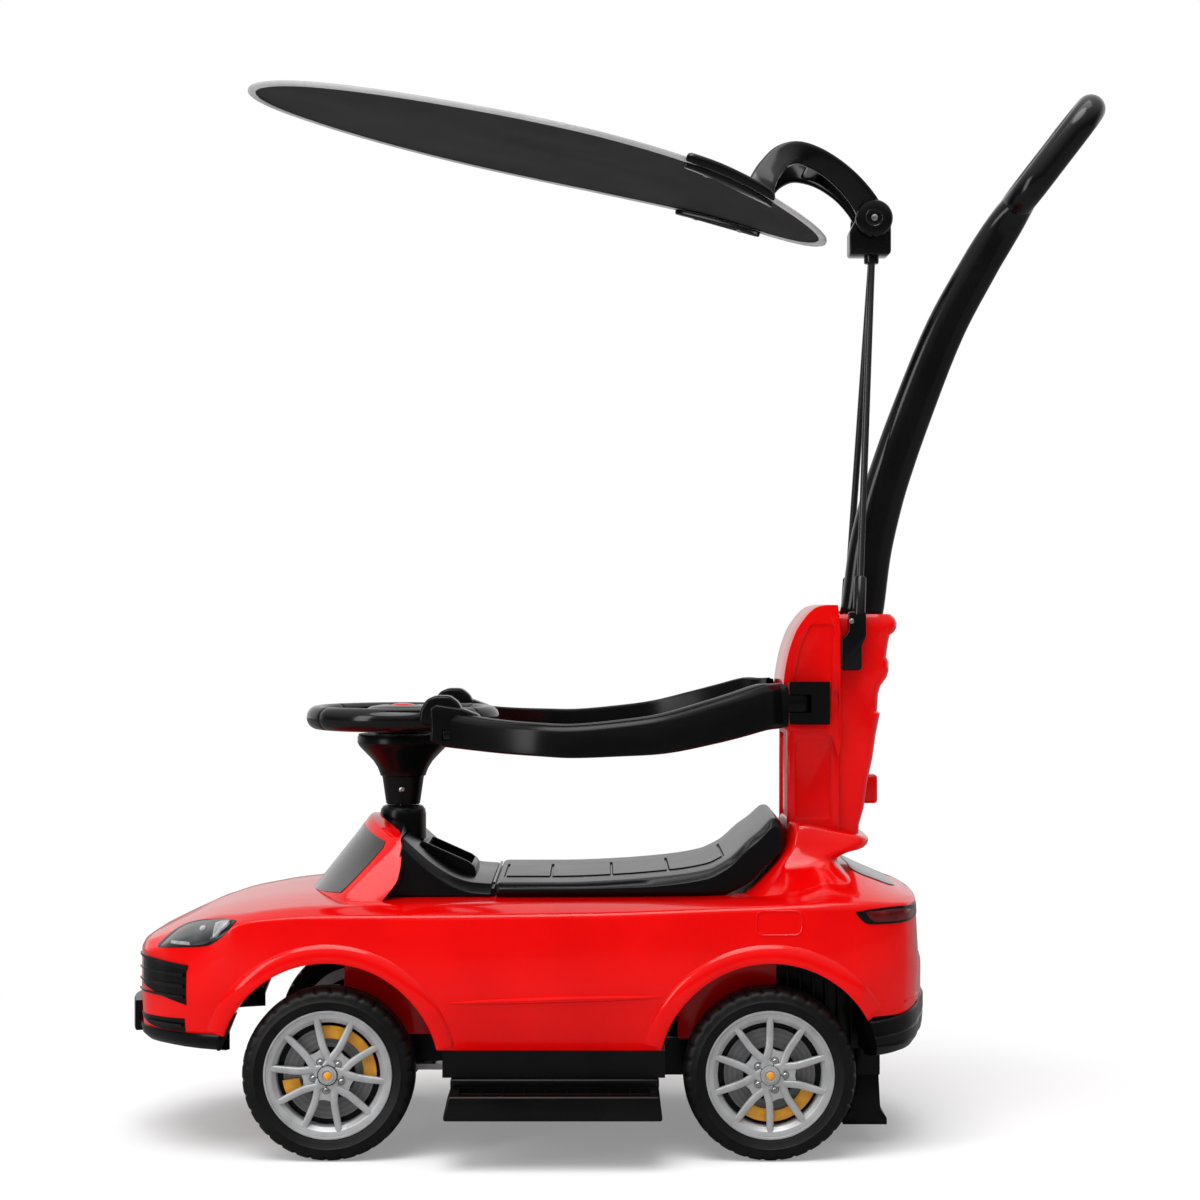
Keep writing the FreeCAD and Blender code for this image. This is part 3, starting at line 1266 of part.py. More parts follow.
doc.recompute()
for item in doc.Objects:
    if {"Invalid", "Error"} & set(item.State):
        raise RuntimeError("%s failed: %s" % (item.Name, item.State))
for item in nodes:
    if item.Shape.isNull() or not item.Shape.isValid() or not item.Shape.Solids:
        raise RuntimeError("%s has no valid solid" % item.Label)
os.makedirs("parts", exist_ok=True)
for item in nodes:
    item.Shape.exportStep("parts/%s.step" % item.Label)
print("%d sub-parts written" % len(nodes))
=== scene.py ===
"""Looks of the push car with handle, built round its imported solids.

Lengths in the tables are millimetres in the car's own frame: the front points to -X, +Z is up, and the left side,
which the camera sees, is at -Y.
"""

import bisect
import math

import bmesh
import bpy
from mathutils import Matrix, Vector


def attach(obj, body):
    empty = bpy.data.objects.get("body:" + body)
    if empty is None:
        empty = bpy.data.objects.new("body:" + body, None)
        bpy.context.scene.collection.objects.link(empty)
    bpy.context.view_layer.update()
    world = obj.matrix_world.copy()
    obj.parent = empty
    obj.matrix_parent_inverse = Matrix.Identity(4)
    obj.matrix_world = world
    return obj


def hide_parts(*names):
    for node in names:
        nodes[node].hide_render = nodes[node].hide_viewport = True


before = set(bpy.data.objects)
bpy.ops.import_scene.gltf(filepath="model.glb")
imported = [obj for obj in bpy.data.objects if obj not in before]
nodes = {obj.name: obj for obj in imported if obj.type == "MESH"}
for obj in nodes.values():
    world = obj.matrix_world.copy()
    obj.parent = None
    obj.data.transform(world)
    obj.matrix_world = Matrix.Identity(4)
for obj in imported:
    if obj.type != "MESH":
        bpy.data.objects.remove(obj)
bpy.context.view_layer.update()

MM = 0.001
MERGE_LENGTH = 1e-6
CAR = "car"
SIDES = (-1, 1)
# Angles in degrees: an edge that bends more is drawn crisp, or rounded where it is bevelled
HARD_EDGE = 30
SOFT_EDGE = 40
EASY_EDGE = 50
ROUND_EDGE = 60
# Points round a circle, from small screws to the wheels' rims
TINY_ROUND = 16
SMALL_ROUND = 20
KNOB_ROUND = 24
CAP_ROUND = 32
PIN_ROUND = 48
FULL_ROUND = 64
PLATE_ROUND = 72
DISC_ROUND = 96
RIM_ROUND = 120


# Helpers: meshes

def shown(name, data):
    """A new object in the scene."""
    obj = bpy.data.objects.new(name, data)
    bpy.context.scene.collection.objects.link(obj)
    return obj


def smooth(obj, sharp):
    """Smooth shading with edges sharper than an angle left crisp."""
    obj.data.shade_smooth()
    obj.data.set_sharp_from_angle(angle=math.radians(sharp))
    return obj


def welded(mesh):
    """Joins points that meet and turns a mesh's faces outwards."""
    shape = bmesh.new()
    shape.from_mesh(mesh)
    bmesh.ops.remove_doubles(shape, verts=shape.verts, dist=MERGE_LENGTH)
    bmesh.ops.recalc_face_normals(shape, faces=shape.faces)
    shape.to_mesh(mesh)
    shape.free()


def build(name, points, faces, material, sharp=SOFT_EDGE):
    """An object from points in millimetres, its faces turned outwards."""
    mesh = bpy.data.meshes.new(name)
    mesh.from_pydata([Vector(point) * MM for point in points], [], faces)
    welded(mesh)
    mesh.materials.append(material)
    return smooth(shown(name, mesh), sharp)


def modified(obj, kind, **settings):
    """Adds a modifier with its settings."""
    item = obj.modifiers.new(kind.lower(), kind)
    for name, value in settings.items():
        setattr(item, name, value)
    return obj


def bake(obj, sharp=SOFT_EDGE):
    """Puts an object's modifiers into its mesh."""
    graph = bpy.context.evaluated_depsgraph_get()
    mesh = bpy.data.meshes.new_from_object(obj.evaluated_get(graph))
    obj.modifiers.clear()
    obj.data = mesh
    return smooth(obj, sharp)


def bevelled(obj, width, steps=2, angle=HARD_EDGE, sharp=SOFT_EDGE):
    """Rounds an object's hard edges."""
    modified(obj, "BEVEL", width=width * MM, segments=steps, limit_method="ANGLE", angle_limit=math.radians(angle))
    return bake(obj, sharp)


def carved(obj, *cutters, sharp=SOFT_EDGE):
    """Cuts other objects out of one and removes them."""
    for cutter in cutters:
        modified(obj, "BOOLEAN", operation="DIFFERENCE", object=cutter, solver="EXACT")
    bake(obj, sharp)
    for cutter in cutters:
        bpy.data.objects.remove(cutter)
    return obj


def joined(name, *pieces, sharp=SOFT_EDGE):
    """One object from several that share a material."""
    shape = bmesh.new()
    for piece in pieces:
        piece.data.transform(piece.matrix_world)
        shape.from_mesh(piece.data)
    mesh = bpy.data.meshes.new(name)
    shape.to_mesh(mesh)
    shape.free()
    mesh.materials.append(pieces[0].data.materials[0])
    for piece in pieces:
        bpy.data.objects.remove(piece)
    return smooth(shown(name, mesh), sharp)


def mirrored(obj, name):
    """The same piece on the car's other side."""
    mesh = obj.data.copy()
    mesh.transform(Matrix.Scale(-1, 4, (0, 1, 0)))
    mesh.flip_normals()
    return shown(name, mesh)


def both_sides(obj, name):
    """A piece and its mirror image as one object."""
    return joined(name, obj, mirrored(obj, name + "_other"))


# Helpers: forms

def strip_faces(rows, columns, wrap_rows=False, wrap_columns=False):
    """Faces between rows of points, which may close on themselves either way."""
    faces = []
    for row in range(rows if wrap_rows else rows - 1):
        below = (row + 1) % rows
        for column in range(columns if wrap_columns else columns - 1):
            beside = (column + 1) % columns
            faces.append((row * columns + column, row * columns + beside, below * columns + beside,
                          below * columns + column))
    return faces


def loft(name, rings, material, capped=True, wrap=False, sharp=SOFT_EDGE):
    """A skin through closed rings of equal count."""
    count = len(rings[0])
    points = [point for ring in rings for point in ring]
    faces = strip_faces(len(rings), count, wrap, True)
    if capped and not wrap:
        faces.append(tuple(range(count)))
        faces.append(tuple(range(len(points) - count, len(points))))
    return build(name, points, faces, material, sharp)


def sheet_grid(name, rows, material, sharp=SOFT_EDGE):
    """An open skin through rows of points."""
    points = [point for row in rows for point in row]
    return build(name, points, strip_faces(len(rows), len(rows[0])), material, sharp)


def rounded(corners, shares, steps=4, closed=True):
    """A line through corners, each rounded by a share of half its shorter neighbour."""
    corners = [Vector(corner) for corner in corners]
    if not isinstance(shares, (list, tuple)):
        shares = [shares] * len(corners)
    line = []
    for index, (corner, share) in enumerate(zip(corners, shares)):
        if not closed and index in (0, len(corners) - 1):
            line.append(corner)
            continue
        before = corners[index - 1] - corner
        after = corners[(index + 1) % len(corners)] - corner
        trim = share * min(before.length, after.length) / 2
        start = corner + before.normalized() * trim
        end = corner + after.normalized() * trim
        for step in range(steps + 1):
            part = step / steps
            line.append(start.lerp(corner, part).lerp(corner.lerp(end, part), part))
    return line


AXIS_TURNS = {
    "x": lambda along, across, up: (along, across, up),
    "y": lambda along, across, up: (across, along, up),
    "z": lambda along, across, up: (across, up, along),
}


def prism(name, outline, low, high, material, axis="y"):
    """An outline in two axes carried along the third."""
    turn = AXIS_TURNS[axis]
    return loft(name, [[turn(level, *point) for point in outline] for level in (low, high)], material)


def slab(name, corners, shares, sides, material, edge, steps=2, angle=HARD_EDGE):
    """An outline with rounded corners carried between two sides, its edges rounded too."""
    return bevelled(prism(name, rounded(corners, shares), *sides, material), edge, steps, angle)


def block(name, low, high, material, edge=0, steps=2):
    """A box between two corners with rounded edges."""
    outline = [(low[0], low[1]), (high[0], low[1]), (high[0], high[1]), (low[0], high[1])]
    obj = prism(name, outline, low[2], high[2], material, "z")
    return bevelled(obj, edge, steps) if edge else obj


def ring_points(radius, count, start=0, sweep=math.tau):
    """Points of a circle or of an arc of one."""
    share = sweep / (count if sweep == math.tau else count - 1)
    return [(radius * math.cos(start + share * step), radius * math.sin(start + share * step))
            for step in range(count)]


def squared(value, power):
    """A share from -1 to 1 pushed towards its ends, for outlines squarer than an oval."""
    return math.copysign(abs(value) ** power, value)


def lathe(name, profile, material, centre=(0, 0, 0), axis="z", count=FULL_ROUND, closed=True, sharp=SOFT_EDGE):
    """A profile of radius and place along an axis, turned all the way round."""
    turn = AXIS_TURNS[axis]
    points = [Vector(turn(along, radius * across, radius * up)) + Vector(centre)
              for across, up in ring_points(1, count) for radius, along in profile]
    return build(name, points, strip_faces(count, len(profile), True, closed), material, sharp)


def disc_solid(name, radius, low, high, material, centre, axis="z", edge=0.0, count=PIN_ROUND):
    """A round plate or pin with a bevelled rim at both ends."""
    profile = [(0, low), (radius - edge, low), (radius, low + edge), (radius, high - edge), (radius - edge, high),
               (0, high)]
    return lathe(name, profile, material, centre, axis, count, False)


def tube(name, path, radius, material, sides, cyclic=False):
    """A round tube along points; the radius may change from point to point."""
    path = [Vector(point) for point in path]
    count = len(path)
    radii = radius if isinstance(radius, (list, tuple)) else [radius] * count
    rings = []
    normal = None
    for index, point in enumerate(path):
        before = path[index - 1] if cyclic or index else point
        after = path[(index + 1) % count] if cyclic or index < count - 1 else point
        along = (after - before).normalized()
        if normal is None:
            normal = along.orthogonal().normalized()
        normal = (normal - along * normal.dot(along)).normalized()
        side = along.cross(normal)
        rings.append([point + (normal * across + side * up) * radii[index] for across, up in ring_points(1, sides)])
    return loft(name, rings, material, capped=not cyclic, wrap=cyclic)


# Helpers: curves through tables

def eased(part, span, values, slopes):
    """A value between two rows, from their values and slopes."""
    rest = 1 - part
    return ((1 + 2 * part) * rest ** 2 * values[0] + part ** 2 * (3 - 2 * part) * values[1]
            + span * part * rest * (rest * slopes[0] - part * slopes[1]))


def table_slopes(places, values):
    """The slope at each row of a table: none where the values turn."""
    steps = [(after - before) / (end - start)
             for start, end, before, after in zip(places, places[1:], values, values[1:])]
    inner = [0 if first * second <= 0 else 2 * first * second / (first + second)
             for first, second in zip(steps, steps[1:])]
    return [steps[0]] + inner + [steps[-1]]


def table_value(places, values, place):
    """A smooth reading between a table's rows that never overshoots them."""
    slopes = table_slopes(places, values)
    row = max(0, min(bisect.bisect_right(places, place) - 1, len(places) - 2))
    span = places[row + 1] - places[row]
    part = min(max((place - places[row]) / span, 0), 1)
    return eased(part, span, values[row:row + 2], slopes[row:row + 2])


def row_values(rows, place):
    """All further columns of a table, read at a place in its first column."""
    places, *columns = zip(*rows)
    return [table_value(places, column, place) for column in columns]


def spread(places, between):
    """A table's places with further ones between them."""
    return [start + (end - start) * step / between for start, end in zip(places, places[1:])
            for step in range(between)] + [places[-1]]


def smooth_path(points, between):
    """A curved line through points, by distance along them."""
    points = [Vector(point) for point in points]
    travelled = [0.0]
    for before, after in zip(points, points[1:]):
        travelled.append(travelled[-1] + (after - before).length)
    last = len(points) - 1
    slopes = [(points[min(row + 1, last)] - points[max(row - 1, 0)])
              / (travelled[min(row + 1, last)] - travelled[max(row - 1, 0)]) for row in range(last + 1)]
    line = []
    for row in range(last):
        span = travelled[row + 1] - travelled[row]
        line += [eased(step / between, span, points[row:row + 2], slopes[row:row + 2]) for step in range(between)]
    return line + [points[-1]]


def headings(path):
    """Each point of a line, with the way the line runs there."""
    last = len(path) - 1
    return [(spot, path[min(row + 1, last)] - path[max(row - 1, 0)]) for row, spot in enumerate(path)]


# Helpers: where pieces belong

def put(obj, body, slot, *replaced):
    """A piece rides a body and stands for solids; the slot is not used."""
    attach(obj, body)
    if replaced:
        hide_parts(*replaced)
    return obj


def put_both(obj, name, body, slot, *replaced):
    """A piece and its mirror image, put in place as one."""
    return put(both_sides(obj, name), body, slot, *replaced)


def dressed(name, material, width):
    """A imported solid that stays, with a better material and rounded edges."""
    obj = nodes[name]
    obj.data.materials.clear()
    obj.data.materials.append(material)
    if width:
        modified(obj, "BEVEL", width=width * MM, segments=2, limit_method="ANGLE", harden_normals=True)


# Materials

PATCH_SCALE = 14
PATCH_DETAIL = 3
GRAIN_SCALE = 900
GRAIN_DETAIL = 2
BUMP_DEPTH = 0.0004
# Where a pattern's darker tone ends and its lighter one begins
TONE_SPAN_SHARES = (0.3, 0.7)
# How far the threads of cloth and the grooves of a turned piece waver
THREAD_WAVER = 0.4
GROOVE_WAVER = 0.3
CLOTH_DETAIL = 4


def link(material, source, target, socket):
    """Joins two shader nodes; a source is a node, for its first output, or a node with the name of an output."""
    node, output = source if isinstance(source, tuple) else (source, 0)
    material.node_tree.links.new(node.outputs[output], target.inputs[socket])


def add(material, kind, feeds=None, **settings):
    """A shader node: feeds are its inputs' sources, settings its properties or the values of its inputs."""
    item = material.node_tree.nodes.new(kind)
    for name, value in settings.items():
        if hasattr(item, name):
            setattr(item, name, value)
        else:
            item.inputs[name.replace("_", " ")].default_value = value
    for socket, source in (feeds or {}).items():
        link(material, source, item, socket)
    return item


def blank(name, **sockets):
    """A material with constants set on its shader, and the source of each point's place on the object."""
    material = bpy.data.materials.new(name)
    material.use_nodes = True
    shader = material.node_tree.nodes["Principled BSDF"]
    for socket, value in sockets.items():
        shader.inputs[socket.replace("_", " ")].default_value = value
    return material, shader, (add(material, "ShaderNodeTexCoord"), "Object")


def patterned(material, shader, pattern, dark, light, rough):
    """Colour and roughness that follow a pattern."""
    ramp = add(material, "ShaderNodeValToRGB", {"Fac": pattern})
    for stop, place, tone in zip(ramp.color_ramp.elements, TONE_SPAN_SHARES, (dark, light)):
        stop.position = place
        stop.color = (*tone, 1)
    link(material, ramp, shader, "Base Color")
    dull = add(material, "ShaderNodeMapRange", {"Value": pattern}, To_Min=rough[0], To_Max=rough[1])
    link(material, dull, shader, "Roughness")


def bumped(material, shader, pattern, strength):
    """A fine relief that follows a pattern."""
    bump = add(material, "ShaderNodeBump", {"Height": pattern}, Strength=strength, Distance=BUMP_DEPTH)
    link(material, bump, shader, "Normal")


def moulded(name, dark, light, rough, bump, grain=GRAIN_SCALE, patch=PATCH_SCALE, stretch=(1, 1, 1), **sockets):
    """Plastic, paint or metal: broad tone changes and a fine grain."""
    material, shader, where = blank(name, **sockets)
    mapping = add(material, "ShaderNodeMapping", {"Vector": where}, Scale=stretch)
    patches = add(material, "ShaderNodeTexNoise", {"Vector": mapping}, Scale=patch, Detail=PATCH_DETAIL)
    patterned(material, shader, patches, dark, light, rough)
    fine = add(material, "ShaderNodeTexNoise", {"Vector": mapping}, Scale=grain, Detail=GRAIN_DETAIL)
    bumped(material, shader, fine, bump)
    return material


def woven(name, dark, light, rough, threads, bump, **sockets):
    """Cloth: two sets of threads crossing, under slow changes of tone."""
    material, shader, where = blank(name, **sockets)
    bands = {}
    for row, direction in enumerate(("X", "Y")):
        band = add(material, "ShaderNodeTexWave", {"Vector": where}, Scale=threads, bands_direction=direction,
                   Distortion=THREAD_WAVER)
        bands[row] = (band, "Fac")
    weave = add(material, "ShaderNodeMath", bands, operation="MAXIMUM")
    slow = add(material, "ShaderNodeTexNoise", {"Vector": where}, Scale=PATCH_SCALE, Detail=CLOTH_DETAIL)
    tone = add(material, "ShaderNodeMath", {0: weave, 1: slow}, operation="MULTIPLY")
    patterned(material, shader, tone, dark, light, rough)
    bumped(material, shader, weave, bump)
    return material


def ringed(name, dark, light, rough, rings, bump, **sockets):
    """Turned grooves round an axle that lies along Y."""
    material, shader, where = blank(name, **sockets)
    wave = add(material, "ShaderNodeTexWave", {"Vector": where}, wave_type="RINGS", rings_direction="Y", Scale=rings,
               Distortion=GROOVE_WAVER)
    patterned(material, shader, (wave, "Fac"), dark, light, rough)
    bumped(material, shader, (wave, "Fac"), bump)
    return material


# Finishes: darker and lighter tone, range of roughness and depth of the relief, then what else sets them apart
RED = moulded("red_gloss", (0.66, 0.0006, 0.0008), (0.74, 0.001, 0.001), (0.12, 0.18), 0.012, grain=260,
              Coat_Weight=0.3, Coat_Roughness=0.03, Specular_IOR_Level=0.15)
BLACK = moulded("black_plastic", (0.0018, 0.0018, 0.002), (0.0036, 0.0036, 0.004), (0.20, 0.28), 0.05,
                Specular_IOR_Level=0.2)
BLACK_GLOSS = moulded("black_gloss", (0.0022, 0.0022, 0.0025), (0.0042, 0.0042, 0.0045), (0.12, 0.18), 0.02,
                      Specular_IOR_Level=0.34)
BLACK_METAL = moulded("black_metal", (0.004, 0.004, 0.0045), (0.008, 0.008, 0.008), (0.22, 0.34), 0.03,
                      stretch=(1, 1, 0.1), Coat_Weight=0.3, Coat_Roughness=0.15)
TYRE = moulded("tyre_black", (0.0025, 0.0025, 0.0025), (0.006, 0.006, 0.0058), (0.36, 0.48), 0.12, patch=40,
               Specular_IOR_Level=0.2)
RIM = moulded("rim_silver", (0.33, 0.335, 0.34), (0.42, 0.425, 0.43), (0.30, 0.42), 0.06, grain=1600, patch=60,
              Metallic=0.35)
DISC = ringed("disc_grey", (0.12, 0.12, 0.124), (0.15, 0.15, 0.154), (0.42, 0.52), 60, 0.05, Metallic=0.2)
CALIPER = moulded("caliper_yellow", (0.50, 0.20, 0.004), (0.68, 0.32, 0.008), (0.30, 0.44), 0.30, grain=420,
                  patch=90)
AMBER = moulded("cap_amber", (0.62, 0.24, 0.006), (0.75, 0.34, 0.010), (0.18, 0.26), 0.03, patch=120,
                Coat_Weight=0.5)
GLAZING = moulded("dark_glazing", (0.012, 0.012, 0.013), (0.022, 0.022, 0.024), (0.12, 0.20), 0.012,
                  Coat_Weight=0.4, Coat_Roughness=0.04)
# A lighter copy of the dark glazing: painted light for the rear window's upward face
LIT_REAR_GLAZING = moulded("rear_glazing_painted_light", (0.035, 0.036, 0.038), (0.055, 0.056, 0.058), (0.16, 0.26), 0.012,
                       Coat_Weight=0.4, Coat_Roughness=0.06)
LENS = moulded("lamp_clear", (0.016, 0.017, 0.018), (0.045, 0.046, 0.048), (0.08, 0.14), 0.02, patch=45,
               Coat_Weight=0.7, Coat_Roughness=0.03)
LAMP_WHITE = moulded("lamp_white", (0.22, 0.22, 0.225), (0.46, 0.46, 0.47), (0.15, 0.25), 0.03, patch=120)
RED_LENS = moulded("lamp_red", (0.05, 0.001, 0.0015), (0.13, 0.004, 0.005), (0.12, 0.2), 0.12, grain=300, patch=70,
                   Coat_Weight=0.3, Coat_Roughness=0.04, Specular_IOR_Level=0.3)
STEEL = moulded("steel", (0.46, 0.46, 0.47), (0.62, 0.62, 0.63), (0.18, 0.32), 0.08, grain=1400, patch=80,
                stretch=(1, 0.15, 1), Metallic=1.0)
CLOTH = woven("canopy_cloth", (0.016, 0.016, 0.017), (0.034, 0.034, 0.036), (0.72, 0.9), 420, 0.30,
              Specular_IOR_Level=0.2)
CLOTH_TOP = woven("canopy_top", (0.006, 0.006, 0.0065), (0.014, 0.014, 0.015), (0.6, 0.8), 420, 0.30,
                  Specular_IOR_Level=0.2)
BINDING = woven("binding", (0.36, 0.36, 0.365), (0.52, 0.52, 0.525), (0.6, 0.8), 520, 0.35)

# Body: a smooth shell through stations, with wheel arches cut and flared

# Station; sill height; half-width at the sill and the waist; shoulder and deck half-widths and heights; crown height
BODY_ROWS = [
    (-499, 122, 8, 9, 8, 184, 7, 189, 191),
    (-497, 122, 20, 22, 20, 186, 18, 191, 193.5),
    (-493, 122, 41, 44, 41, 189, 36, 196, 199.5),
    (-489, 122, 62, 67, 63, 192, 55, 199.5, 203),
    (-484, 122, 88, 95, 90, 195.5, 78, 203, 206),
    (-480, 122, 99, 108, 103, 198, 89, 206, 208.5),
    (-475, 122, 108, 119, 114, 200, 98, 208, 211),
    (-462, 122, 124, 136, 131, 203.5, 107, 213, 217.5),
    (-448, 122, 138, 151, 147, 207.5, 117, 219.5, 224),
    (-421, 122, 157, 171, 168, 214, 133, 231, 235),
    (-398, 122, 166, 181, 180, 223, 150, 237.5, 241.5),
    (-375, 120, 171, 187, 186, 234, 164, 241, 246),
    (-350, 112, 174, 190, 188, 238, 168, 245, 250),
    (-308, 109, 178, 192, 190, 241, 168, 249, 254),
    (-220, 109, 180, 194, 191, 242, 162, 251, 254.5),
    (-137, 109, 181, 195, 191.5, 243, 158, 252, 254.5),
    (-14, 109, 181, 195, 192, 245, 157, 253, 254),
    (88, 109, 181, 195, 192, 249, 157, 254.5, 255),
    (150, 109, 181, 194.5, 191, 251, 156, 257, 259),
    (190, 109, 180, 193, 189, 252.5, 150, 262, 272),
    (211, 109, 178, 191, 187, 253, 143, 265, 279),
    (235, 118, 173, 186, 182, 253.5, 135, 264, 279),
    (250, 140, 168, 180, 176, 253, 129, 262, 273),
    (268, 140, 157, 170, 166, 251.5, 122, 258, 265),
    (283, 140, 143, 157, 152, 250.5, 115, 255, 258.5),
    (290, 140, 130, 144, 136, 249.5, 110, 253.5, 256),
    (296, 140, 114, 129, 114, 248, 98, 252, 254.5),
    (300, 140, 98, 115, 94, 246.5, 84, 250, 252.5),
    (303, 140, 78, 98, 66, 245, 58, 248.5, 251),
]
BODY_STATIONS = [row[0] for row in BODY_ROWS]
WAIST_SHARE = 0.4
CROWN_SHARE = 0.5
# How much of each corner of a section is rounded: sill, waist, shoulder, deck, crown and middle
SECTION_SHARES = (0, 0.55, 0.3, 0.55, 0.9, 0)
STATION_STEPS = 4
BODY_WALL = 3
BODY_SHARP = 32
# How far the tail's rear face stands behind its last station, by height
TAIL_HEIGHTS = (140, 181, 200, 220, 241, 251)
TAIL_REACHES = (11, 10, 4, 5, 2, 0)
TAIL_POWER = 2
FASCIA_STEPS = 10


def body_section(x):
    """The body's right-hand half outline at a station, from the sill to the middle."""
    sill, sill_half, waist, shoulder, shoulder_up, deck, deck_up, crown = row_values(BODY_ROWS, x)
    waist_up = sill + WAIST_SHARE * (shoulder_up - sill)
    corners = [(sill_half, sill), (waist, waist_up), (shoulder, shoulder_up), (deck, deck_up),
               (deck * CROWN_SHARE, crown), (0, crown)]
    return rounded(corners, SECTION_SHARES, closed=False)


def body_side(x, z):
    """Half-width of the body at a station and height."""
    line = body_section(x)
    for low, high in zip(line, line[1:]):
        if low[1] <= z <= high[1]:
            part = (z - low[1]) / max(high[1] - low[1], MERGE_LENGTH)
            return low[0] + part * (high[0] - low[0])
    return line[0][0] if z < line[0][1] else line[-2][0]


def end_face(ring, bulge):
    """Rows of points across the body's end, from a half outline and its mirror image."""
    rows = []
    for x, y, z in ring:
        reach = table_value(TAIL_HEIGHTS, TAIL_REACHES, z) if bulge else 0
        rows.append([(x + reach * bulge * (1 - (1 - 2 * step / FASCIA_STEPS) ** TAIL_POWER),
                      y * (1 - 2 * step / FASCIA_STEPS), z) for step in range(FASCIA_STEPS + 1)])
    return rows


def body_skin():
    """The body's open skin, closed at both ends."""
    rows = []
    for x in spread(BODY_STATIONS, STATION_STEPS):
        half = [(x, y, z) for y, z in body_section(x)]
        rows.append(half + [(x, -y, z) for x, y, z in reversed(half[:-1])])
    skin = sheet_grid("skin", rows, RED)
    middle = len(rows[0]) // 2 + 1
    front = sheet_grid("front_end", end_face(rows[0][:middle], 0), RED)
    rear = sheet_grid("rear_end", end_face(rows[-1][:middle], 1), RED)
    return joined("body", skin, front, rear)


WHEEL_RADIUS = 85
FRONT_AXLE = -287.4
REAR_AXLE = 147.1
ARCH_HEIGHT = 87
ARCH_RADIUS = 109
ARCH_REACH = 260
ARCH_STEPS = 96


def arch_cutter(x):
    """The space of a pair of wheel arches."""
    return disc_solid("arch", ARCH_RADIUS, -ARCH_REACH, ARCH_REACH, RED, (x, 0, ARCH_HEIGHT), "y", count=ARCH_STEPS)


BIN_LOW = (-107, -93, 200)
BIN_HIGH = (97, 93, 300)
body = body_skin()
welded(body.data)
bake(modified(body, "SOLIDIFY", thickness=BODY_WALL * MM, offset=-1))
bin_well = block("bin_well", BIN_LOW, BIN_HIGH, RED)
carved(body, arch_cutter(FRONT_AXLE), arch_cutter(REAR_AXLE), bin_well, sharp=BODY_SHARP)
body.name = "body"
put(body, CAR, "red_gloss", "body_shell")

# Arch flares: radius from the wheel's centre and how far the lip stands off the body's side
FLARE_LINE = [(109, -24), (109, 2.2), (110.5, 3.6), (113, 4.0), (119, 3.8), (123, 2.6), (127, 0.4), (128, -1.5)]
FLARE_STEPS = 72
FLARE_ENDS = {"front": (FRONT_AXLE, 12, 162), "rear": (REAR_AXLE, 30, 167)}


def flare(name, x, first, last):
    """A raised lip round the left wheel arch, standing off the body's own side."""
    rows = []
    for step in range(FLARE_STEPS + 1):
        angle = math.radians(first + (last - first) * step / FLARE_STEPS)
        row = []
        for radius, off in FLARE_LINE:
            place = (x + radius * math.cos(angle), ARCH_HEIGHT + radius * math.sin(angle))
            row.append((place[0], -body_side(*place) - off, place[1]))
        rows.append(row)
    return sheet_grid(name, rows, RED, sharp=ROUND_EDGE)


for row_name, ends in FLARE_ENDS.items():
    put_both(flare("flare", *ends), row_name + "_flares", CAR, "red_gloss")

# Inner wheel tubs behind the front wheels and before the rear ones
TUB_PLATES = {"front_tub": ((-279, 96, 112), (-182, 100, 246)), "rear_tub": ((58, 112, 110), (158, 116, 246))}
TUB_EDGE = 1.5
for name, (low, high) in TUB_PLATES.items():
    put_both(block("tub", low, high, RED, TUB_EDGE), name, CAR, "red_gloss")

# Cowl: level; front at the middle and at the corner; half-width at the corner; rear and half-width at the rear
COWL_ROWS = [
    (236, -331, -286, 146, -243, 152),
    (250, -319, -276, 141, -238, 147),
    (258, -313, -272, 138, -232, 143),
    (277, -298, -258, 130, -222, 134),
    (300, -280, -241, 120, -219.5, 124),
    (316, -267.5, -231, 113, -219.5, 117),
    (324, -263, -228, 108, -221, 111),
    (328, -259, -227, 104, -222.5, 106),
]
COWL_LEVELS = [row[0] for row in COWL_ROWS]
COWL_CURVE = 2.2
COWL_STEPS = 14
COWL_SINK = 16
COWL_FOOT = 259
COWL_EDGE = 3.5
COWL_BEND = 35
COWL_BETWEEN = 3
COWL_RIM = 12
COWL_THINNING = 4
LINING_DROP = 5
LINING_SHARE = 0.9
RIM_OVERLAP_SHARE = 0.6


def cowl_sink(share, z):
    """How far the cowl's sides hang below its middle."""
    return COWL_SINK * share ** 2 * max(0, (z - COWL_FOOT) / (COWL_LEVELS[-1] - COWL_FOOT))


def cowl_front(share, z, lift=0.0):
    """A point of the cowl's curved front, across from -1 to 1."""
    middle, corner, half, rear, rear_half = row_values(COWL_ROWS, z)
    return Vector((middle + (corner - middle) * abs(share) ** COWL_CURVE - lift, half * share,
                   z + lift / 2 - cowl_sink(share, z)))


def cowl_slice(share):
    """The cowl's outline on one line across it: up its front and down its rear, thin between the pillars."""
    levels = spread(COWL_LEVELS, COWL_BETWEEN)
    pillar = abs(share) ** COWL_THINNING
    back = []
    for z in reversed(levels):
        middle, corner, half, rear, rear_half = row_values(COWL_ROWS, z)
        front = cowl_front(share, z)
        back.append((rear * pillar + (front.x + COWL_RIM) * (1 - pillar),
                     rear_half * share * pillar + front.y * (1 - pillar), front.z))
    return [cowl_front(share, z) for z in levels] + back


def cowl_lining(share):
    """The black lining behind the cowl's rim."""
    levels = spread(COWL_LEVELS, COWL_BETWEEN)
    front = [cowl_front(share, z) + Vector((COWL_RIM * RIM_OVERLAP_SHARE, 0, -LINING_DROP)) for z in levels]
    back = []
    for z in reversed(levels):
        middle, corner, half, rear, rear_half = row_values(COWL_ROWS, z)
        back.append((rear, half * share, z - cowl_sink(share, z) - LINING_DROP))
    return front + back


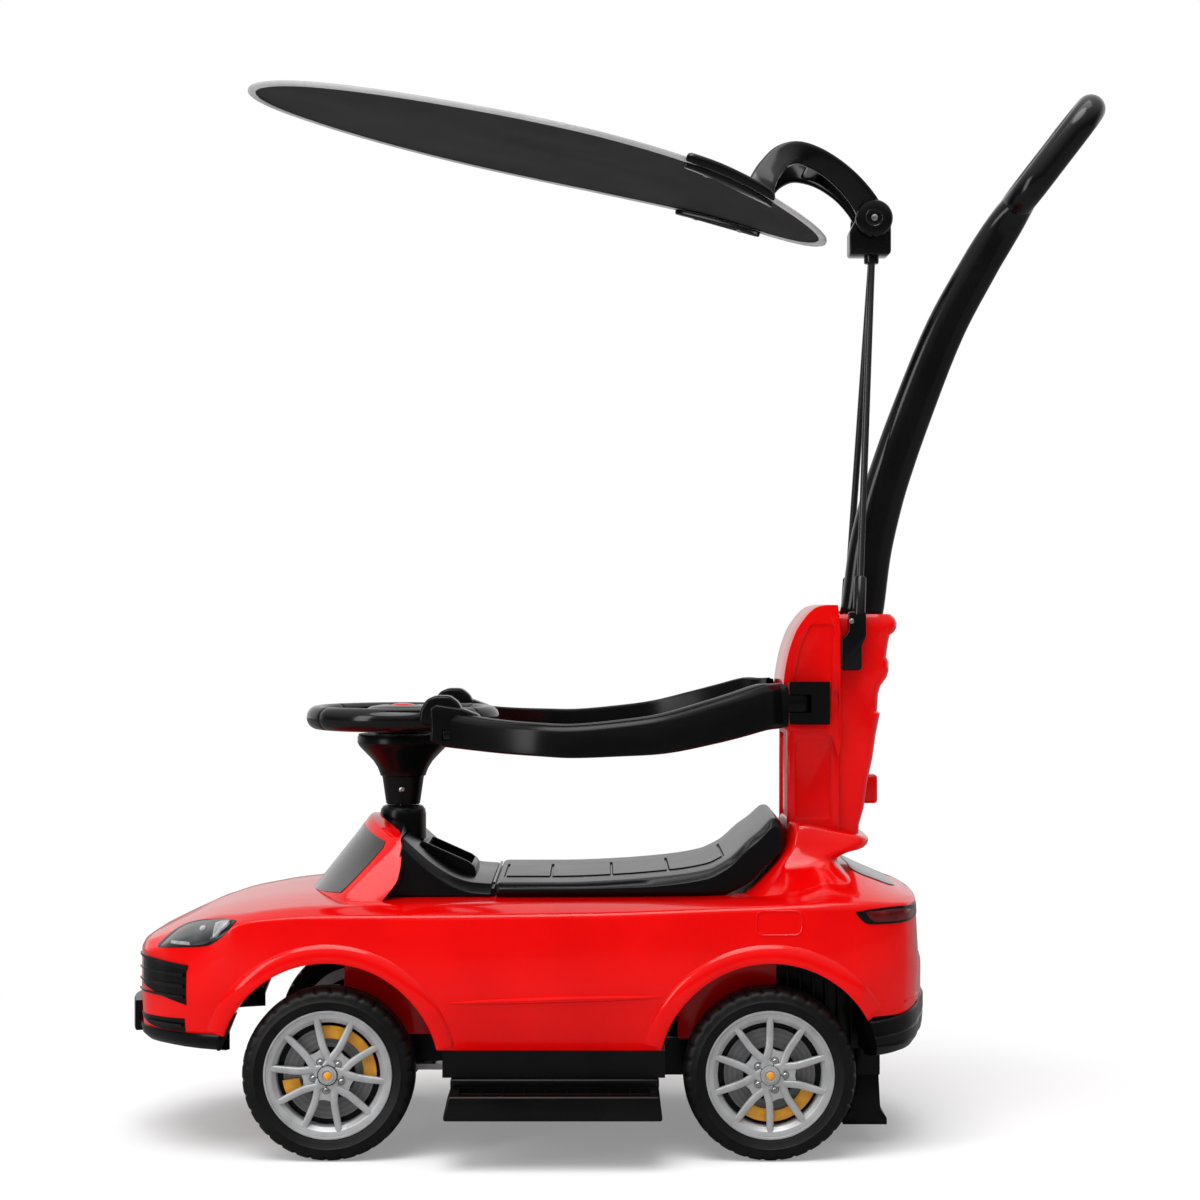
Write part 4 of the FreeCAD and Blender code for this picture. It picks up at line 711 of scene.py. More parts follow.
cowl_steps = range(-COWL_STEPS, COWL_STEPS + 1)
lining = [cowl_lining(LINING_SHARE * step / COWL_STEPS) for step in cowl_steps]
put(loft("cowl_lining", lining, BLACK), CAR, "black_plastic")
cowl = loft("cowl", [cowl_slice(step / COWL_STEPS) for step in cowl_steps], RED)
put(bevelled(cowl, COWL_EDGE, 3, COWL_BEND, EASY_EDGE), CAR, "red_gloss")

# Windscreen panel, let into the cowl's front
SCREEN_LOW = 259
SCREEN_HIGH = 318.5
SCREEN_DIP = 6
SCREEN_SHARE = 0.93
SCREEN_STEPS = (10, 28)
SCREEN_LIFT = 0.9
SCREEN_THICKNESS = 2.5
SCREEN_CORNER_SHARE = 0.02
SCREEN_CORNER_POWER = 12


def screen_panel():
    """The panel's outer face, a little narrower at its foot and top."""
    rows = []
    for step in range(SCREEN_STEPS[0] + 1):
        up = step / SCREEN_STEPS[0]
        reach = SCREEN_SHARE * (1 - SCREEN_CORNER_SHARE * abs(2 * up - 1) ** SCREEN_CORNER_POWER)
        row = []
        for column in range(SCREEN_STEPS[1] + 1):
            share = reach * (2 * column / SCREEN_STEPS[1] - 1)
            low = SCREEN_LOW - SCREEN_DIP * (1 - share ** 2)
            row.append(cowl_front(share, low + (SCREEN_HIGH - low) * up, SCREEN_LIFT))
        rows.append(row)
    return sheet_grid("windscreen_panel", rows, GLAZING)


screen = modified(screen_panel(), "SOLIDIFY", thickness=SCREEN_THICKNESS * MM, offset=-1)
put(bake(screen), CAR, "dark_glazing", "windscreen")


def plan_ring(front, rear, half, z, square, count):
    """A rounded plan outline; the lower the powers of its front and rear, the squarer they are."""
    middle = (front + rear) / 2
    reach = (rear - front) / 2
    ring = []
    for across, up in ring_points(1, count):
        power = square[0] if across < 0 else square[1]
        ring.append((middle + reach * squared(across, power), half * squared(up, power), z))
    return ring


# Tail saddle under the backrest: front, rear, half-width, height at the front and height at the rear
SADDLE_ROWS = [
    (104, 300, 168, 244, 244), (116, 280, 156, 252, 250), (127, 258, 144, 258, 259), (137, 240, 130, 266, 270),
    (145, 230, 119, 274, 277), (152, 225, 111, 281, 282), (162, 224, 103, 293, 287), (165, 236, 100, 297, 294),
    (167.5, 251, 98, 302, 298), (170, 256, 95.5, 312, 302), (172, 257, 92.5, 321, 306),
    (173.4, 255, 90.6, 324.6, 308.6), (175, 252, 88, 326, 310),
]
SADDLE_STEPS = 96
SADDLE_SQUARES = (0.26, 0.46)
SADDLE_BETWEEN = 3
saddle_order = range(len(SADDLE_ROWS))
saddle_rings = []
for place in spread(saddle_order, SADDLE_BETWEEN):
    front, rear, half, low, high = (table_value(saddle_order, column, place) for column in zip(*SADDLE_ROWS))
    ring = plan_ring(front, rear, half, 0, SADDLE_SQUARES, SADDLE_STEPS)
    saddle_rings.append([(x, y, low + (high - low) * (x - front) / (rear - front)) for x, y, z in ring])
put(loft("tail_saddle", saddle_rings, RED, sharp=ROUND_EDGE), CAR, "red_gloss")

# Wheels: made once round an axle at the origin, outer face to -Y, and used at all four corners

# Tyre: radius and place across, from the middle of the tread to the bead
TYRE_LINE = [(85, 0), (85, 5), (82.6, 5.8), (82.6, 7.6), (85, 8.4), (84.8, 14), (83.6, 17.6), (81, 20.4), (77, 22),
             (73, 22.4), (72.4, 22.9), (71.8, 22.4), (66.5, 21.4), (63.2, 19.4), (62.6, 16)]
TREAD_RADIUS = 80
TREAD_DEPTH = 2.2
TREAD_BLOCKS = 34
BLOCK_STEPS = 6
GROOVE_STEP = 5
TYRE_SHARP = 38


def tyre_mesh():
    """The tyre, its shoulders cut into blocks that stand half a block apart on its two sides."""
    line = [(radius, -across) for radius, across in reversed(TYRE_LINE)] + TYRE_LINE[1:]
    count = TREAD_BLOCKS * BLOCK_STEPS
    points = []
    for step in range(count):
        angle = math.tau * step / count
        for radius, across in line:
            shifted = (step + (BLOCK_STEPS // 2 if across > 0 else 0)) % BLOCK_STEPS
            outer = radius > TREAD_RADIUS and abs(across) > TYRE_LINE[4][1]
            reach = radius - (TREAD_DEPTH if outer and shifted == GROOVE_STEP else 0)
            points.append((reach * math.cos(angle), across, reach * math.sin(angle)))
    return build("tyre", points, strip_faces(count, len(line), True, True), TYRE, sharp=TYRE_SHARP)


# Rim: radius and place across of the outer ring, lip and barrel
RIM_LINE = [(62.4, 17), (62.4, -18.5), (63.4, -20.2), (62.8, -21.2), (61.6, -21.2), (60.8, -19.6), (56.4, -18.6),
            (55.4, -18.2), (54.4, -16.4), (52.2, -15.2), (51.2, -13.6), (51.0, 17)]
LUG_COUNT = 5
LUG_ANGLE = math.tau / LUG_COUNT
LUG_RADIUS = 14.6
# One spoke of a pair: along and aside from the pair's middle line, and how far out its ridge stands
SPOKE_PATH = [(4, 8.0, -20.4), (14, 8.7, -20.6), (25, 9.2, -20.2), (33, 11.0, -19.4), (43, 14.0, -18.9),
              (54.6, 17.6, -18.8)]
SPOKE_HALF_WIDTHS = (3.4, 3.6, 3.7, 3.7, 3.6, 3.0)
SPOKE_DEPTH = 7
SPOKE_SIDES = 12
SPOKE_STEPS = 4
SPOKE_SQUARE = 0.55
# Plate between the two spokes of a pair
PADDLE_CORNERS = [(4, -4.5), (16, -7.5), (26, -8.5), (24.5, 0), (26, 8.5), (16, 7.5), (4, 4.5)]
PADDLE_LEVELS = (-18.6, -12.5)
PADDLE_ROUND_SHARE = 0.5
PADDLE_STEPS = 3
PADDLE_EDGE = 0.8
HUB_LINE = [(0, -12), (9.4, -12), (9.4, -21.4), (8.7, -22.5), (6.9, -22.7), (6.4, -23.9), (5.2, -23.9), (4.6, -22.8),
            (0, -22.8)]


def turned(point, angle):
    """A point along, aside and out, turned round the axle."""
    along, aside, out = point
    return (along * math.cos(angle) - aside * math.sin(angle), out,
            along * math.sin(angle) + aside * math.cos(angle))


def spoke(angle, side):
    """One spoke of a pair, on either side of the pair's middle line."""
    path = smooth_path([(along, side * aside, out) for along, aside, out in SPOKE_PATH], SPOKE_STEPS)
    stations = [row[0] for row in SPOKE_PATH]
    rings = []
    for middle, heading in headings(path):
        across = Vector((-heading.y, heading.x, 0)).normalized()
        half = table_value(stations, SPOKE_HALF_WIDTHS, middle.x)
        ring = []
        for wide, deep in ring_points(1, SPOKE_SIDES):
            wide = squared(wide, SPOKE_SQUARE) * half
            deep = (1 - squared(deep, SPOKE_SQUARE)) / 2 * SPOKE_DEPTH
            ring.append(turned(middle + across * wide + Vector((0, 0, deep)), angle))
        rings.append(ring)
    return loft("spoke", rings, RIM)


def paddle(angle):
    """The plate between a pair of spokes."""
    outline = rounded(PADDLE_CORNERS, PADDLE_ROUND_SHARE, PADDLE_STEPS)
    rings = [[turned((along, aside, level), angle) for along, aside in outline] for level in PADDLE_LEVELS]
    return bevelled(loft("paddle", rings, RIM), PADDLE_EDGE)


def rim_mesh():
    """The whole rim: ring, hub, and five pairs of spokes with their plates."""
    pieces = [lathe("ring", RIM_LINE, RIM, axis="y", count=RIM_ROUND),
              lathe("hub", HUB_LINE, RIM, axis="y", closed=False)]
    for lug in range(LUG_COUNT):
        pieces += [paddle(lug * LUG_ANGLE)] + [spoke(lug * LUG_ANGLE, side) for side in SIDES]
    return joined("rim", *pieces)


# Lug nuts: a cup in the disc's dark grey, painted shade of the well round each nut, and a domed nut in it
NUT_LINE = [(0, -20.6), (1.4, -20.5), (2.3, -19.8), (2.6, -18.4), (2.6, -15), (0, -15)]
CUP_LINE = [(3.0, -17.6), (3.2, -18.9), (4.2, -18.9), (4.6, -18.2), (4.6, -15.6), (3.0, -15.6)]


def lug_mesh(name, line, material, closed):
    """One turned piece at each of the five lugs."""
    pieces = []
    for lug in range(LUG_COUNT):
        angle = lug * LUG_ANGLE
        centre = (LUG_RADIUS * math.cos(angle), 0, LUG_RADIUS * math.sin(angle))
        pieces.append(lathe(name, line, material, centre, "y", SMALL_ROUND, closed))
    return joined(name, *pieces)


# Brake disc, a black disc behind it that paints the shade seen in the gaps round the brake disc and through its
# middle, caliper and plain hub cap
DISC_LINE = [(26, -6.5), (45, -6.5), (45, -2.5), (26, -2.5)]
# A black disc filling the rim's barrel: painted shade of the barrel's inside
BARREL_SHADE_LINE = [(0, -1.5), (50.9, -1.5), (50.9, 1.5), (0, 1.5)]
CALIPER_REACH = math.radians(53)
CALIPER_RADII = (34.5, 47.5)
CALIPER_LEVELS = (-9.8, -6.6)
CALIPER_STEPS = 30
CALIPER_NOTCH_SHARE = 0.16
NOTCH_SPAN_SHARES = (0.3, 0.7)
CALIPER_EDGE = 0.9
PAD_RADII = (29, 46)
PAD_ANGLES = (math.radians(141), math.radians(161))
CAP_LINE = [(0, -24.2), (2.4, -23.9), (3.8, -23.3), (4.2, -22.6), (4.2, -20), (0, -20)]


def arc_plate(name, first, last, inner, outer, levels, material, notch=0.0):
    """A flat arc; its inner edge may rise in the middle, as over a pad."""
    rows = []
    for step in range(CALIPER_STEPS + 1):
        part = step / CALIPER_STEPS
        angle = first + (last - first) * part
        notched = NOTCH_SPAN_SHARES[0] < part < NOTCH_SPAN_SHARES[1]
        low = inner + (outer - inner) * notch * (1 if notched else 0)
        corners = ((low, levels[0]), (outer, levels[0]), (outer, levels[1]), (low, levels[1]))
        rows.append([(radius * math.cos(angle), level, radius * math.sin(angle)) for radius, level in corners])
    return bevelled(loft(name, rows, material), CALIPER_EDGE, angle=EASY_EDGE)


def wheel_parts(row_name):
    """The pieces of a front or rear wheel with their slots; only the front ones show a second pad."""
    caliper = arc_plate("caliper", -CALIPER_REACH, CALIPER_REACH, *CALIPER_RADII, CALIPER_LEVELS, CALIPER,
                        CALIPER_NOTCH_SHARE)
    pads = [caliper]
    if row_name == "front":
        pads.append(arc_plate("pad", *PAD_ANGLES, *PAD_RADII, CALIPER_LEVELS, CALIPER))
    return {
        "tyre": (tyre_mesh(), "tyre_black"),
        "rim": (rim_mesh(), "rim_silver"),
        "brake_disc": (lathe("disc", DISC_LINE, DISC, axis="y", count=DISC_ROUND), "disc_grey"),
        # The black disc in the barrel is painted shade, seen through the gaps round the brake disc
        "barrel_shade": (lathe("plate", BARREL_SHADE_LINE, BLACK, axis="y", count=PLATE_ROUND, closed=False),
                       "black_plastic"),
        "caliper": (joined("calipers", *pads), "disc_grey"),
        # The cups take the disc's dark grey as painted shade of the wells round the nuts
        "shaded_lug_cups": (lug_mesh("cup", CUP_LINE, DISC, True), "disc_grey"),
        "lug_nuts": (lug_mesh("nut", NUT_LINE, STEEL, False), "steel"),
        "hub_cap": (lathe("cap", CAP_LINE, AMBER, axis="y", count=CAP_ROUND, closed=False), "rim_silver"),
    }


WHEEL_OFFSET = 164.5
WHEEL_TURNS = {"front": math.radians(47.5), "rear": math.radians(-72)}
REPLACED_KINDS = ("tyre", "rim", "brake_disc")
for row_name, axle in (("front", FRONT_AXLE), ("rear", REAR_AXLE)):
    parts = wheel_parts(row_name)
    for made, slot_name in parts.values():
        made.data.transform(Matrix.Rotation(-WHEEL_TURNS[row_name], 4, "Y"))
    for side_name, side in (("left", -1), ("right", 1)):
        corner = row_name + "_" + side_name
        facing = Matrix.Rotation(0 if side < 0 else math.pi, 4, "Z")
        spot = Matrix.Translation(Vector((axle, side * WHEEL_OFFSET, WHEEL_RADIUS)) * MM)
        for kind, (made, slot_name) in parts.items():
            piece = shown("%s_look_%s" % (kind, corner), made.data)
            piece.matrix_world = spot @ facing
            replaced = ["%s_%s" % (kind, corner)] if kind in REPLACED_KINDS else []
            put(piece, "wheel_" + corner, slot_name, *replaced)
    for made, slot_name in parts.values():
        bpy.data.objects.remove(made)

# Trim: pieces laid on the body's own side, at a station and height and so far off its surface
SLOPE_STEP = 1.5


def lay(x, z, off=0.0):
    """A place on the left side of the body, moved out along the surface's normal."""
    half = body_side(x, z)
    along = (body_side(x + SLOPE_STEP, z) - body_side(x - SLOPE_STEP, z)) / (2 * SLOPE_STEP)
    rising = (body_side(x, z + SLOPE_STEP) - body_side(x, z - SLOPE_STEP)) / (2 * SLOPE_STEP)
    return Vector((x, -half, z)) + off * Vector((-along, -1, -rising)).normalized()


PATCH_STEPS = (28, 8)
PATCH_DEPTH = 2.5
# Makes a swell as high as its crown in the middle, where the four shares that it falls by are a half each
SWELL_GAIN = 16
RIDGE_SIDES = 8


def patch(name, upper, lower, lift, material, crown=0.0):
    """A thin shell between two edge lines of station and height, with a crown in its middle."""
    first, last = upper[0][0], upper[-1][0]
    rings = []
    for step in range(PATCH_STEPS[0] + 1):
        part = step / PATCH_STEPS[0]
        x = first + (last - first) * part
        high, low = (row_values(line, x)[0] for line in (upper, lower))
        outer = []
        inner = []
        for row in range(PATCH_STEPS[1] + 1):
            up = row / PATCH_STEPS[1]
            z = low + (high - low) * up
            swell = crown * SWELL_GAIN * up * (1 - up) * part * (1 - part)
            outer.append(lay(x, z, lift + swell))
            inner.append(lay(x, z, -PATCH_DEPTH))
        rings.append(outer + inner[::-1])
    return loft(name, rings, material)


def inset_lines(upper, lower, share):
    """Edge lines drawn in towards the middle of the shape between them."""
    middle = (upper[0][0] + upper[-1][0]) / 2
    made = []
    for line, other in ((upper, lower), (lower, upper)):
        made.append([(middle + (x - middle) * share, z + (row_values(other, x)[0] - z) * (1 - share) / 2)
                     for x, z in line])
    return made


def ridge(name, points, radius, material, cyclic=False):
    """A fine raised line on the body's side."""
    return tube(name, [lay(x, z) for x, z in points], radius, material, RIDGE_SIDES, cyclic)


# Headlights: black surround, dark lens, bright reflectors
LAMP_UPPER = [(-463, 206), (-452, 216), (-443, 222.4), (-425, 229.6), (-406, 233.8), (-387, 236), (-377.6, 236)]
LAMP_LOWER = [(-463, 204), (-450, 205.6), (-438, 207), (-425, 208.6), (-408, 211), (-396, 217), (-388, 224),
              (-377.6, 235)]
LENS_SHARE = 0.88
LAMP_LIFTS = (0.7, 1.3)
LENS_CROWN = 1.8
BEAM_UPPER = [(-399, 230.4), (-392, 232.6), (-384, 234.2)]
BEAM_LOWER = [(-399, 219.5), (-392, 225), (-384, 232.4)]
STRIP_UPPER = [(-445, 210.4), (-435, 211.4), (-424, 212.4)]
STRIP_LOWER = [(-445, 208.6), (-435, 209.4), (-424, 210.2)]
BULB_PLACE = (-411, 224)
BULB_LINE = [(0, -3.4), (1.8, -3.1), (3.0, -2.2), (3.6, -1), (3.6, 1), (0, 1)]
BULB_OFF = 3.0
BEAM_LIFT = LENS_CROWN + LAMP_LIFTS[1]
lamp_rim = patch("lamp_rim", LAMP_UPPER, LAMP_LOWER, LAMP_LIFTS[0], BLACK_GLOSS)
lamp_lens = patch("lamp_lens", *inset_lines(LAMP_UPPER, LAMP_LOWER, LENS_SHARE), LAMP_LIFTS[1], LENS, LENS_CROWN)
lamp_bulb = lathe("bulb", BULB_LINE, LAMP_WHITE, lay(*BULB_PLACE, BULB_OFF), "y", SMALL_ROUND, False)
lamp_beams = joined("beams", patch("beam", BEAM_UPPER, BEAM_LOWER, BEAM_LIFT, LAMP_WHITE),
                    patch("strip", STRIP_UPPER, STRIP_LOWER, BEAM_LIFT, LAMP_WHITE), lamp_bulb)
put_both(lamp_rim, "headlight_rims", CAR, "black_gloss")
put_both(lamp_lens, "headlight_lenses", CAR, "lamp_clear", "headlights")
put_both(lamp_beams, "headlight_beams", CAR, "lamp_clear")

# Front grilles and lower intakes with their slats
GRILLE_UPPER = [(-481, 193), (-455, 191), (-429, 189)]
GRILLE_LOWER = [(-481, 165), (-455, 157), (-429, 151)]
GRILLE_EDGE_UPPER = [(-485, 194.4), (-455, 192.6), (-427.6, 190.6)]
GRILLE_EDGE_LOWER = [(-485, 192), (-455, 188.4), (-427.6, 186)]
GRILLE_SLATS = ((182, 179), (171, 167.6), (160.4, 157.6))
SLAT_ENDS = (-485, -431)
SLAT_BEND_SHARES = (0.3, 0.7)
SLAT_TIP = 0.5
INTAKE_UPPER = [(-485, 134), (-460, 135), (-432, 136.4)]
INTAKE_LOWER = [(-485, 131), (-470, 124), (-455, 122.6), (-432, 122.6)]
INTAKE_SLAT_UPPER = [(-474, 130.4), (-434, 130.8)]
INTAKE_SLAT_LOWER = [(-474, 128.6), (-434, 128)]
GRILLE_LIFTS = (0.6, 2.6)


def grille_slat(high, low):
    """A slat that narrows to a tip at its front end."""
    middle = (high + low) / 2
    front, rear = SLAT_ENDS
    bend = front * SLAT_BEND_SHARES[0] + rear * SLAT_BEND_SHARES[1]
    upper = [(front, middle + SLAT_TIP), (bend, high), (rear, high)]
    lower = [(front, middle - SLAT_TIP), (bend, low), (rear, low)]
    return patch("slat", upper, lower, GRILLE_LIFTS[1], BLACK_GLOSS)


grille_base = joined("grille", patch("field", GRILLE_UPPER, GRILLE_LOWER, GRILLE_LIFTS[0], BLACK),
                     patch("intake", INTAKE_UPPER, INTAKE_LOWER, GRILLE_LIFTS[0], BLACK))
grille_slats = joined("slats", patch("top", GRILLE_EDGE_UPPER, GRILLE_EDGE_LOWER, GRILLE_LIFTS[1], BLACK_GLOSS),
                      *[grille_slat(*levels) for levels in GRILLE_SLATS],
                      patch("bar", INTAKE_SLAT_UPPER, INTAKE_SLAT_LOWER, GRILLE_LIFTS[1], BLACK_GLOSS))
put_both(grille_base, "grille_fields", CAR, "black_plastic", "front_grille")
put_both(grille_slats, "grille_slats", CAR, "black_plastic")

# Tail lights: black frame and dark red lens
TAIL_UPPER = [(231.6, 245.4), (250, 247.6), (270, 248.4), (285, 247.8), (302.4, 244)]
TAIL_LOWER = [(231.6, 243.4), (238, 236), (245, 232.6), (270, 232), (290, 233), (302.4, 235)]
TAIL_LENS_SHARE = 0.72
TAIL_CROWN = 1.2
tail_lines = inset_lines(TAIL_UPPER, TAIL_LOWER, TAIL_LENS_SHARE)
tail_frame = patch("tail_frame", TAIL_UPPER, TAIL_LOWER, LAMP_LIFTS[0], BLACK_GLOSS)
tail_lens = patch("tail_lens", *tail_lines, LAMP_LIFTS[1], RED_LENS, TAIL_CROWN)
put_both(tail_frame, "tail_frames", CAR, "black_gloss")
put_both(tail_lens, "tail_lenses", CAR, "lamp_red", "tail_lights")

# Fuel flap and side crease
FLAP_CORNERS = [(133, 223.6), (178, 223.6), (178, 247), (133, 247)]
FLAP_ROUND_SHARE = 0.7
FLAP_STEPS = 5
CREASE_POINTS = [(-172, 157), (-150, 158), (-110, 159.5), (-60, 161.3), (-10, 162.5), (22, 163.2), (42, 163.6)]
CREASE_RADII = (0.4, 2.2, 3.4, 3.8, 3.4, 2.2, 0.4)
RIDGE_RADIUS = 1.0
flap = ridge("flap", rounded(FLAP_CORNERS, FLAP_ROUND_SHARE, FLAP_STEPS), RIDGE_RADIUS, RED, True)
put_both(flap, "fuel_flaps", CAR, "red_gloss")
put_both(ridge("crease", CREASE_POINTS, CREASE_RADII, RED), "side_creases", CAR, "red_gloss")

# Front lip, front plate and rear bumper: sections carried round the body's ends
LIP_PLACES = (-396, -408, -425, -445, -460, -470, -478, -483, -487, -490, -493, -496, -498.6)
LIP_TIP = -499
LIP_LEVEL = 124
LIP_SECTION = [(-4, 122), (1.2, 122), (2.0, 119), (0.6, 113), (-6, 107), (-15, 104.4), (-24, 104.2), (-24, 122)]
BUMPER_PLACES = (245, 252, 260, 270, 280, 286, 291, 295, 298, 301, 303)
# How far the foot of the bumper's ends leans back, and over how many such lengths that fades out
BUMPER_LEAN = 11
LEAN_LENGTHS = 3
BUMPER_LEVEL = 141
BUMPER_FOOT = 100
BUMPER_TOPS = (136, 147)
BUMPER_SHARP = 28
# Off the body and share of the way up from the bumper's foot to its top
BUMPER_SECTION_SHARES = [(-4, 1.0), (1.6, 1.0), (2.8, 0.95), (2.8, 0.66), (1.4, 0.63), (1.4, 0.58), (2.6, 0.55),
                         (1.6, 0.34), (0.2, 0.32), (0.2, 0.28), (0.8, 0.25), (-5, 0.07), (-14, 0.0), (-26, 0.0),
                         (-26, 1.0)]
TAIL_STEPS = 8


def around(line):
    """A line round one end of the car, from its left half."""
    return line + [Vector((point.x, -point.y, 0)) for point in reversed(line) if abs(point.y) > MERGE_LENGTH]


def carried(name, line, sections, material, outward, sharp=SOFT_EDGE):
    """Sections of offset and height carried along a line in plan."""
    rings = []
    for (spot, heading), section in zip(headings(line), sections):
        normal = Vector((heading.y, -heading.x, 0)).normalized() * outward
        rings.append([spot + normal * off + Vector((0, 0, z)) for off, z in section])
    return loft(name, rings, material, sharp=sharp)


lip_left = [Vector((x, -body_side(x, LIP_LEVEL), 0)) for x in LIP_PLACES] + [Vector((LIP_TIP, 0, 0))]
lip_line = around(lip_left)
LIP_END = [(-399, 106), (-395, 106), (-381, 141), (-385, 142), (-392, 122), (-399, 122)]
LIP_END_DEPTH = 24
LIP_END_EDGE = 1.2
lip_near = -body_side(LIP_PLACES[0], LIP_LEVEL)
lip_end = bevelled(prism("lip_end", LIP_END, lip_near, lip_near + LIP_END_DEPTH, BLACK), LIP_END_EDGE)
put_both(lip_end, "lip_ends", CAR, "black_plastic")
lip = carried("lip", lip_line, [LIP_SECTION] * len(lip_line), BLACK, -1)
put(lip, CAR, "black_plastic", "front_lip")
PLATE_TIP = -499.2
PLATE_HALF = 51
PLATE_SWEEP = 8.0
PLATE_POWER = 1.6
PLATE_SECTION = [(0, 108.5), (6.6, 108.5), (7.4, 110), (7.4, 138), (6.6, 139.5), (0, 139.5)]
plate_line = []
for step in range(-TAIL_STEPS, TAIL_STEPS + 1):
    share = step / TAIL_STEPS
    plate_line.append(Vector((PLATE_TIP + PLATE_SWEEP * abs(share) ** PLATE_POWER, PLATE_HALF * share, 0)))
put(carried("plate", plate_line, [PLATE_SECTION] * len(plate_line), BLACK, -1), CAR, "black_plastic", "front_plate")

tail_half = body_side(BUMPER_PLACES[-1], BUMPER_LEVEL)
tail_reach = table_value(TAIL_HEIGHTS, TAIL_REACHES, BUMPER_LEVEL)
tail_face = [Vector((BUMPER_PLACES[-1] + tail_reach * (1 - (1 - step / TAIL_STEPS) ** TAIL_POWER),
                     -tail_half * (1 - step / TAIL_STEPS), 0)) for step in range(1, TAIL_STEPS + 1)]
bumper_line = around([Vector((x, -body_side(x, BUMPER_LEVEL), 0)) for x in BUMPER_PLACES] + tail_face)
bumper_sections = []
for spot in bumper_line:
    rise = min(1, (spot.x - BUMPER_PLACES[0]) / (BUMPER_PLACES[-1] - BUMPER_PLACES[0]))
    top = BUMPER_TOPS[0] + (BUMPER_TOPS[1] - BUMPER_TOPS[0]) * rise ** 2
    bumper_sections.append([(off, BUMPER_FOOT + (top - BUMPER_FOOT) * share)
                            for off, share in BUMPER_SECTION_SHARES])
bumper = carried("bumper", bumper_line, bumper_sections, BLACK, 1, BUMPER_SHARP)
for vertex in bumper.data.vertices:
    near = max(0, 1 - (vertex.co.x / MM - BUMPER_PLACES[0]) / (LEAN_LENGTHS * BUMPER_LEAN))
    low = 1 - (vertex.co.z / MM - BUMPER_FOOT) / (BUMPER_TOPS[0] - BUMPER_FOOT)
    vertex.co.x += BUMPER_LEAN * min(near, 1) * max(low, 0) * MM
put(bumper, CAR, "black_plastic", "rear_bumper")
REFLECTOR_UPPER = [(284, 153.4), (292, 154), (302, 154.4)]
REFLECTOR_LOWER = [(284, 151.6), (292, 148), (302, 148)]
reflector = patch("reflector", REFLECTOR_UPPER, REFLECTOR_LOWER, LAMP_LIFTS[1], RED)
put_both(reflector, "reflectors", CAR, "lamp_red")

# Rear window: a plate on the tail's crown, in a lighter copy of the dark glazing that paints light on its upward
# face
WINDOW_ENDS = (236, 282)
WINDOW_HALVES = (82, 70)
WINDOW_STEPS = (12, 20)
WINDOW_LIFT = 1.0
WINDOW_CORNER_SHARE = 0.14
WINDOW_CORNER_POWER = 6


def body_top(x, y):
    """Height of the body's upper side at a station and half-width."""
    line = body_section(x)
    for low, high in zip(reversed(line[:-1]), reversed(line)):
        if high[0] <= abs(y) <= low[0] and low[0] > high[0]:
            return high[1] + (low[1] - high[1]) * (abs(y) - high[0]) / (low[0] - high[0])
    return line[-1][1]


window_rings = []
for step in range(WINDOW_STEPS[0] + 1):
    part = step / WINDOW_STEPS[0]
    x = WINDOW_ENDS[0] + (WINDOW_ENDS[1] - WINDOW_ENDS[0]) * part
    half = WINDOW_HALVES[0] + (WINDOW_HALVES[1] - WINDOW_HALVES[0]) * part
    half *= 1 - WINDOW_CORNER_SHARE * abs(2 * part - 1) ** WINDOW_CORNER_POWER
    across = [half * (2 * column / WINDOW_STEPS[1] - 1) for column in range(WINDOW_STEPS[1] + 1)]
    upper = [(x, y, body_top(x, y) + WINDOW_LIFT) for y in across]
    under = [(x, y, body_top(x, y) - PATCH_DEPTH) for y in across]
    window_rings.append(upper + under[::-1])
put(loft("rear_screen", window_rings, LIT_REAR_GLAZING), CAR, "dark_glazing", "rear_window")

# Dash console: side line of its crown, the drop to its outer edge, and the tray standing on it
DASH_PLACES = (-218.6, -208, -185, -163, -148, -138, -129.4)
DASH_CROWN = (312, 302, 283, 271, 267, 266.2, 265.6)
DASH_BASE = 254.4
DASH_FRONT = [(-240, 254.4), (-223, 280), (-221, 296)]
DASH_HALVES = (111, 122)
DASH_DROP = 9.5
DASH_STEPS = 4
DASH_BEND = 16
TRAY_CORNERS = [(-205, 258), (-205, 303.5), (-156, 281.6), (-149, 276), (-148, 268), (-148, 258)]
TRAY_ROUND_SHARES = (0, 0.15, 0.5, 0.6, 0.4, 0)
TRAY_SIDES = (-45, 45)
TRAY_POCKET = ((-197.5, -40, 264), (-152.6, 40, 330))
TRAY_FLOOR = ((-197.4, -39.9, 263), (-152.7, 39.9, 265))
HINGE_STRIP = ((-129.6, -118, 250), (-126.2, 118, 261.5))
COLUMN = -226.5
SLEEVE_SPACE = 24.2
SMALL_EDGE = 1.2
THIN_EDGE = 0.6
PART_EDGE = 2.0


def dash_outline(drop):
    """The console's side line, lower by a drop."""
    crown = [(x, table_value(DASH_PLACES, DASH_CROWN, x) - drop) for x in spread(DASH_PLACES, DASH_STEPS)]
    return crown + [(DASH_PLACES[-1], DASH_BASE), *DASH_FRONT]


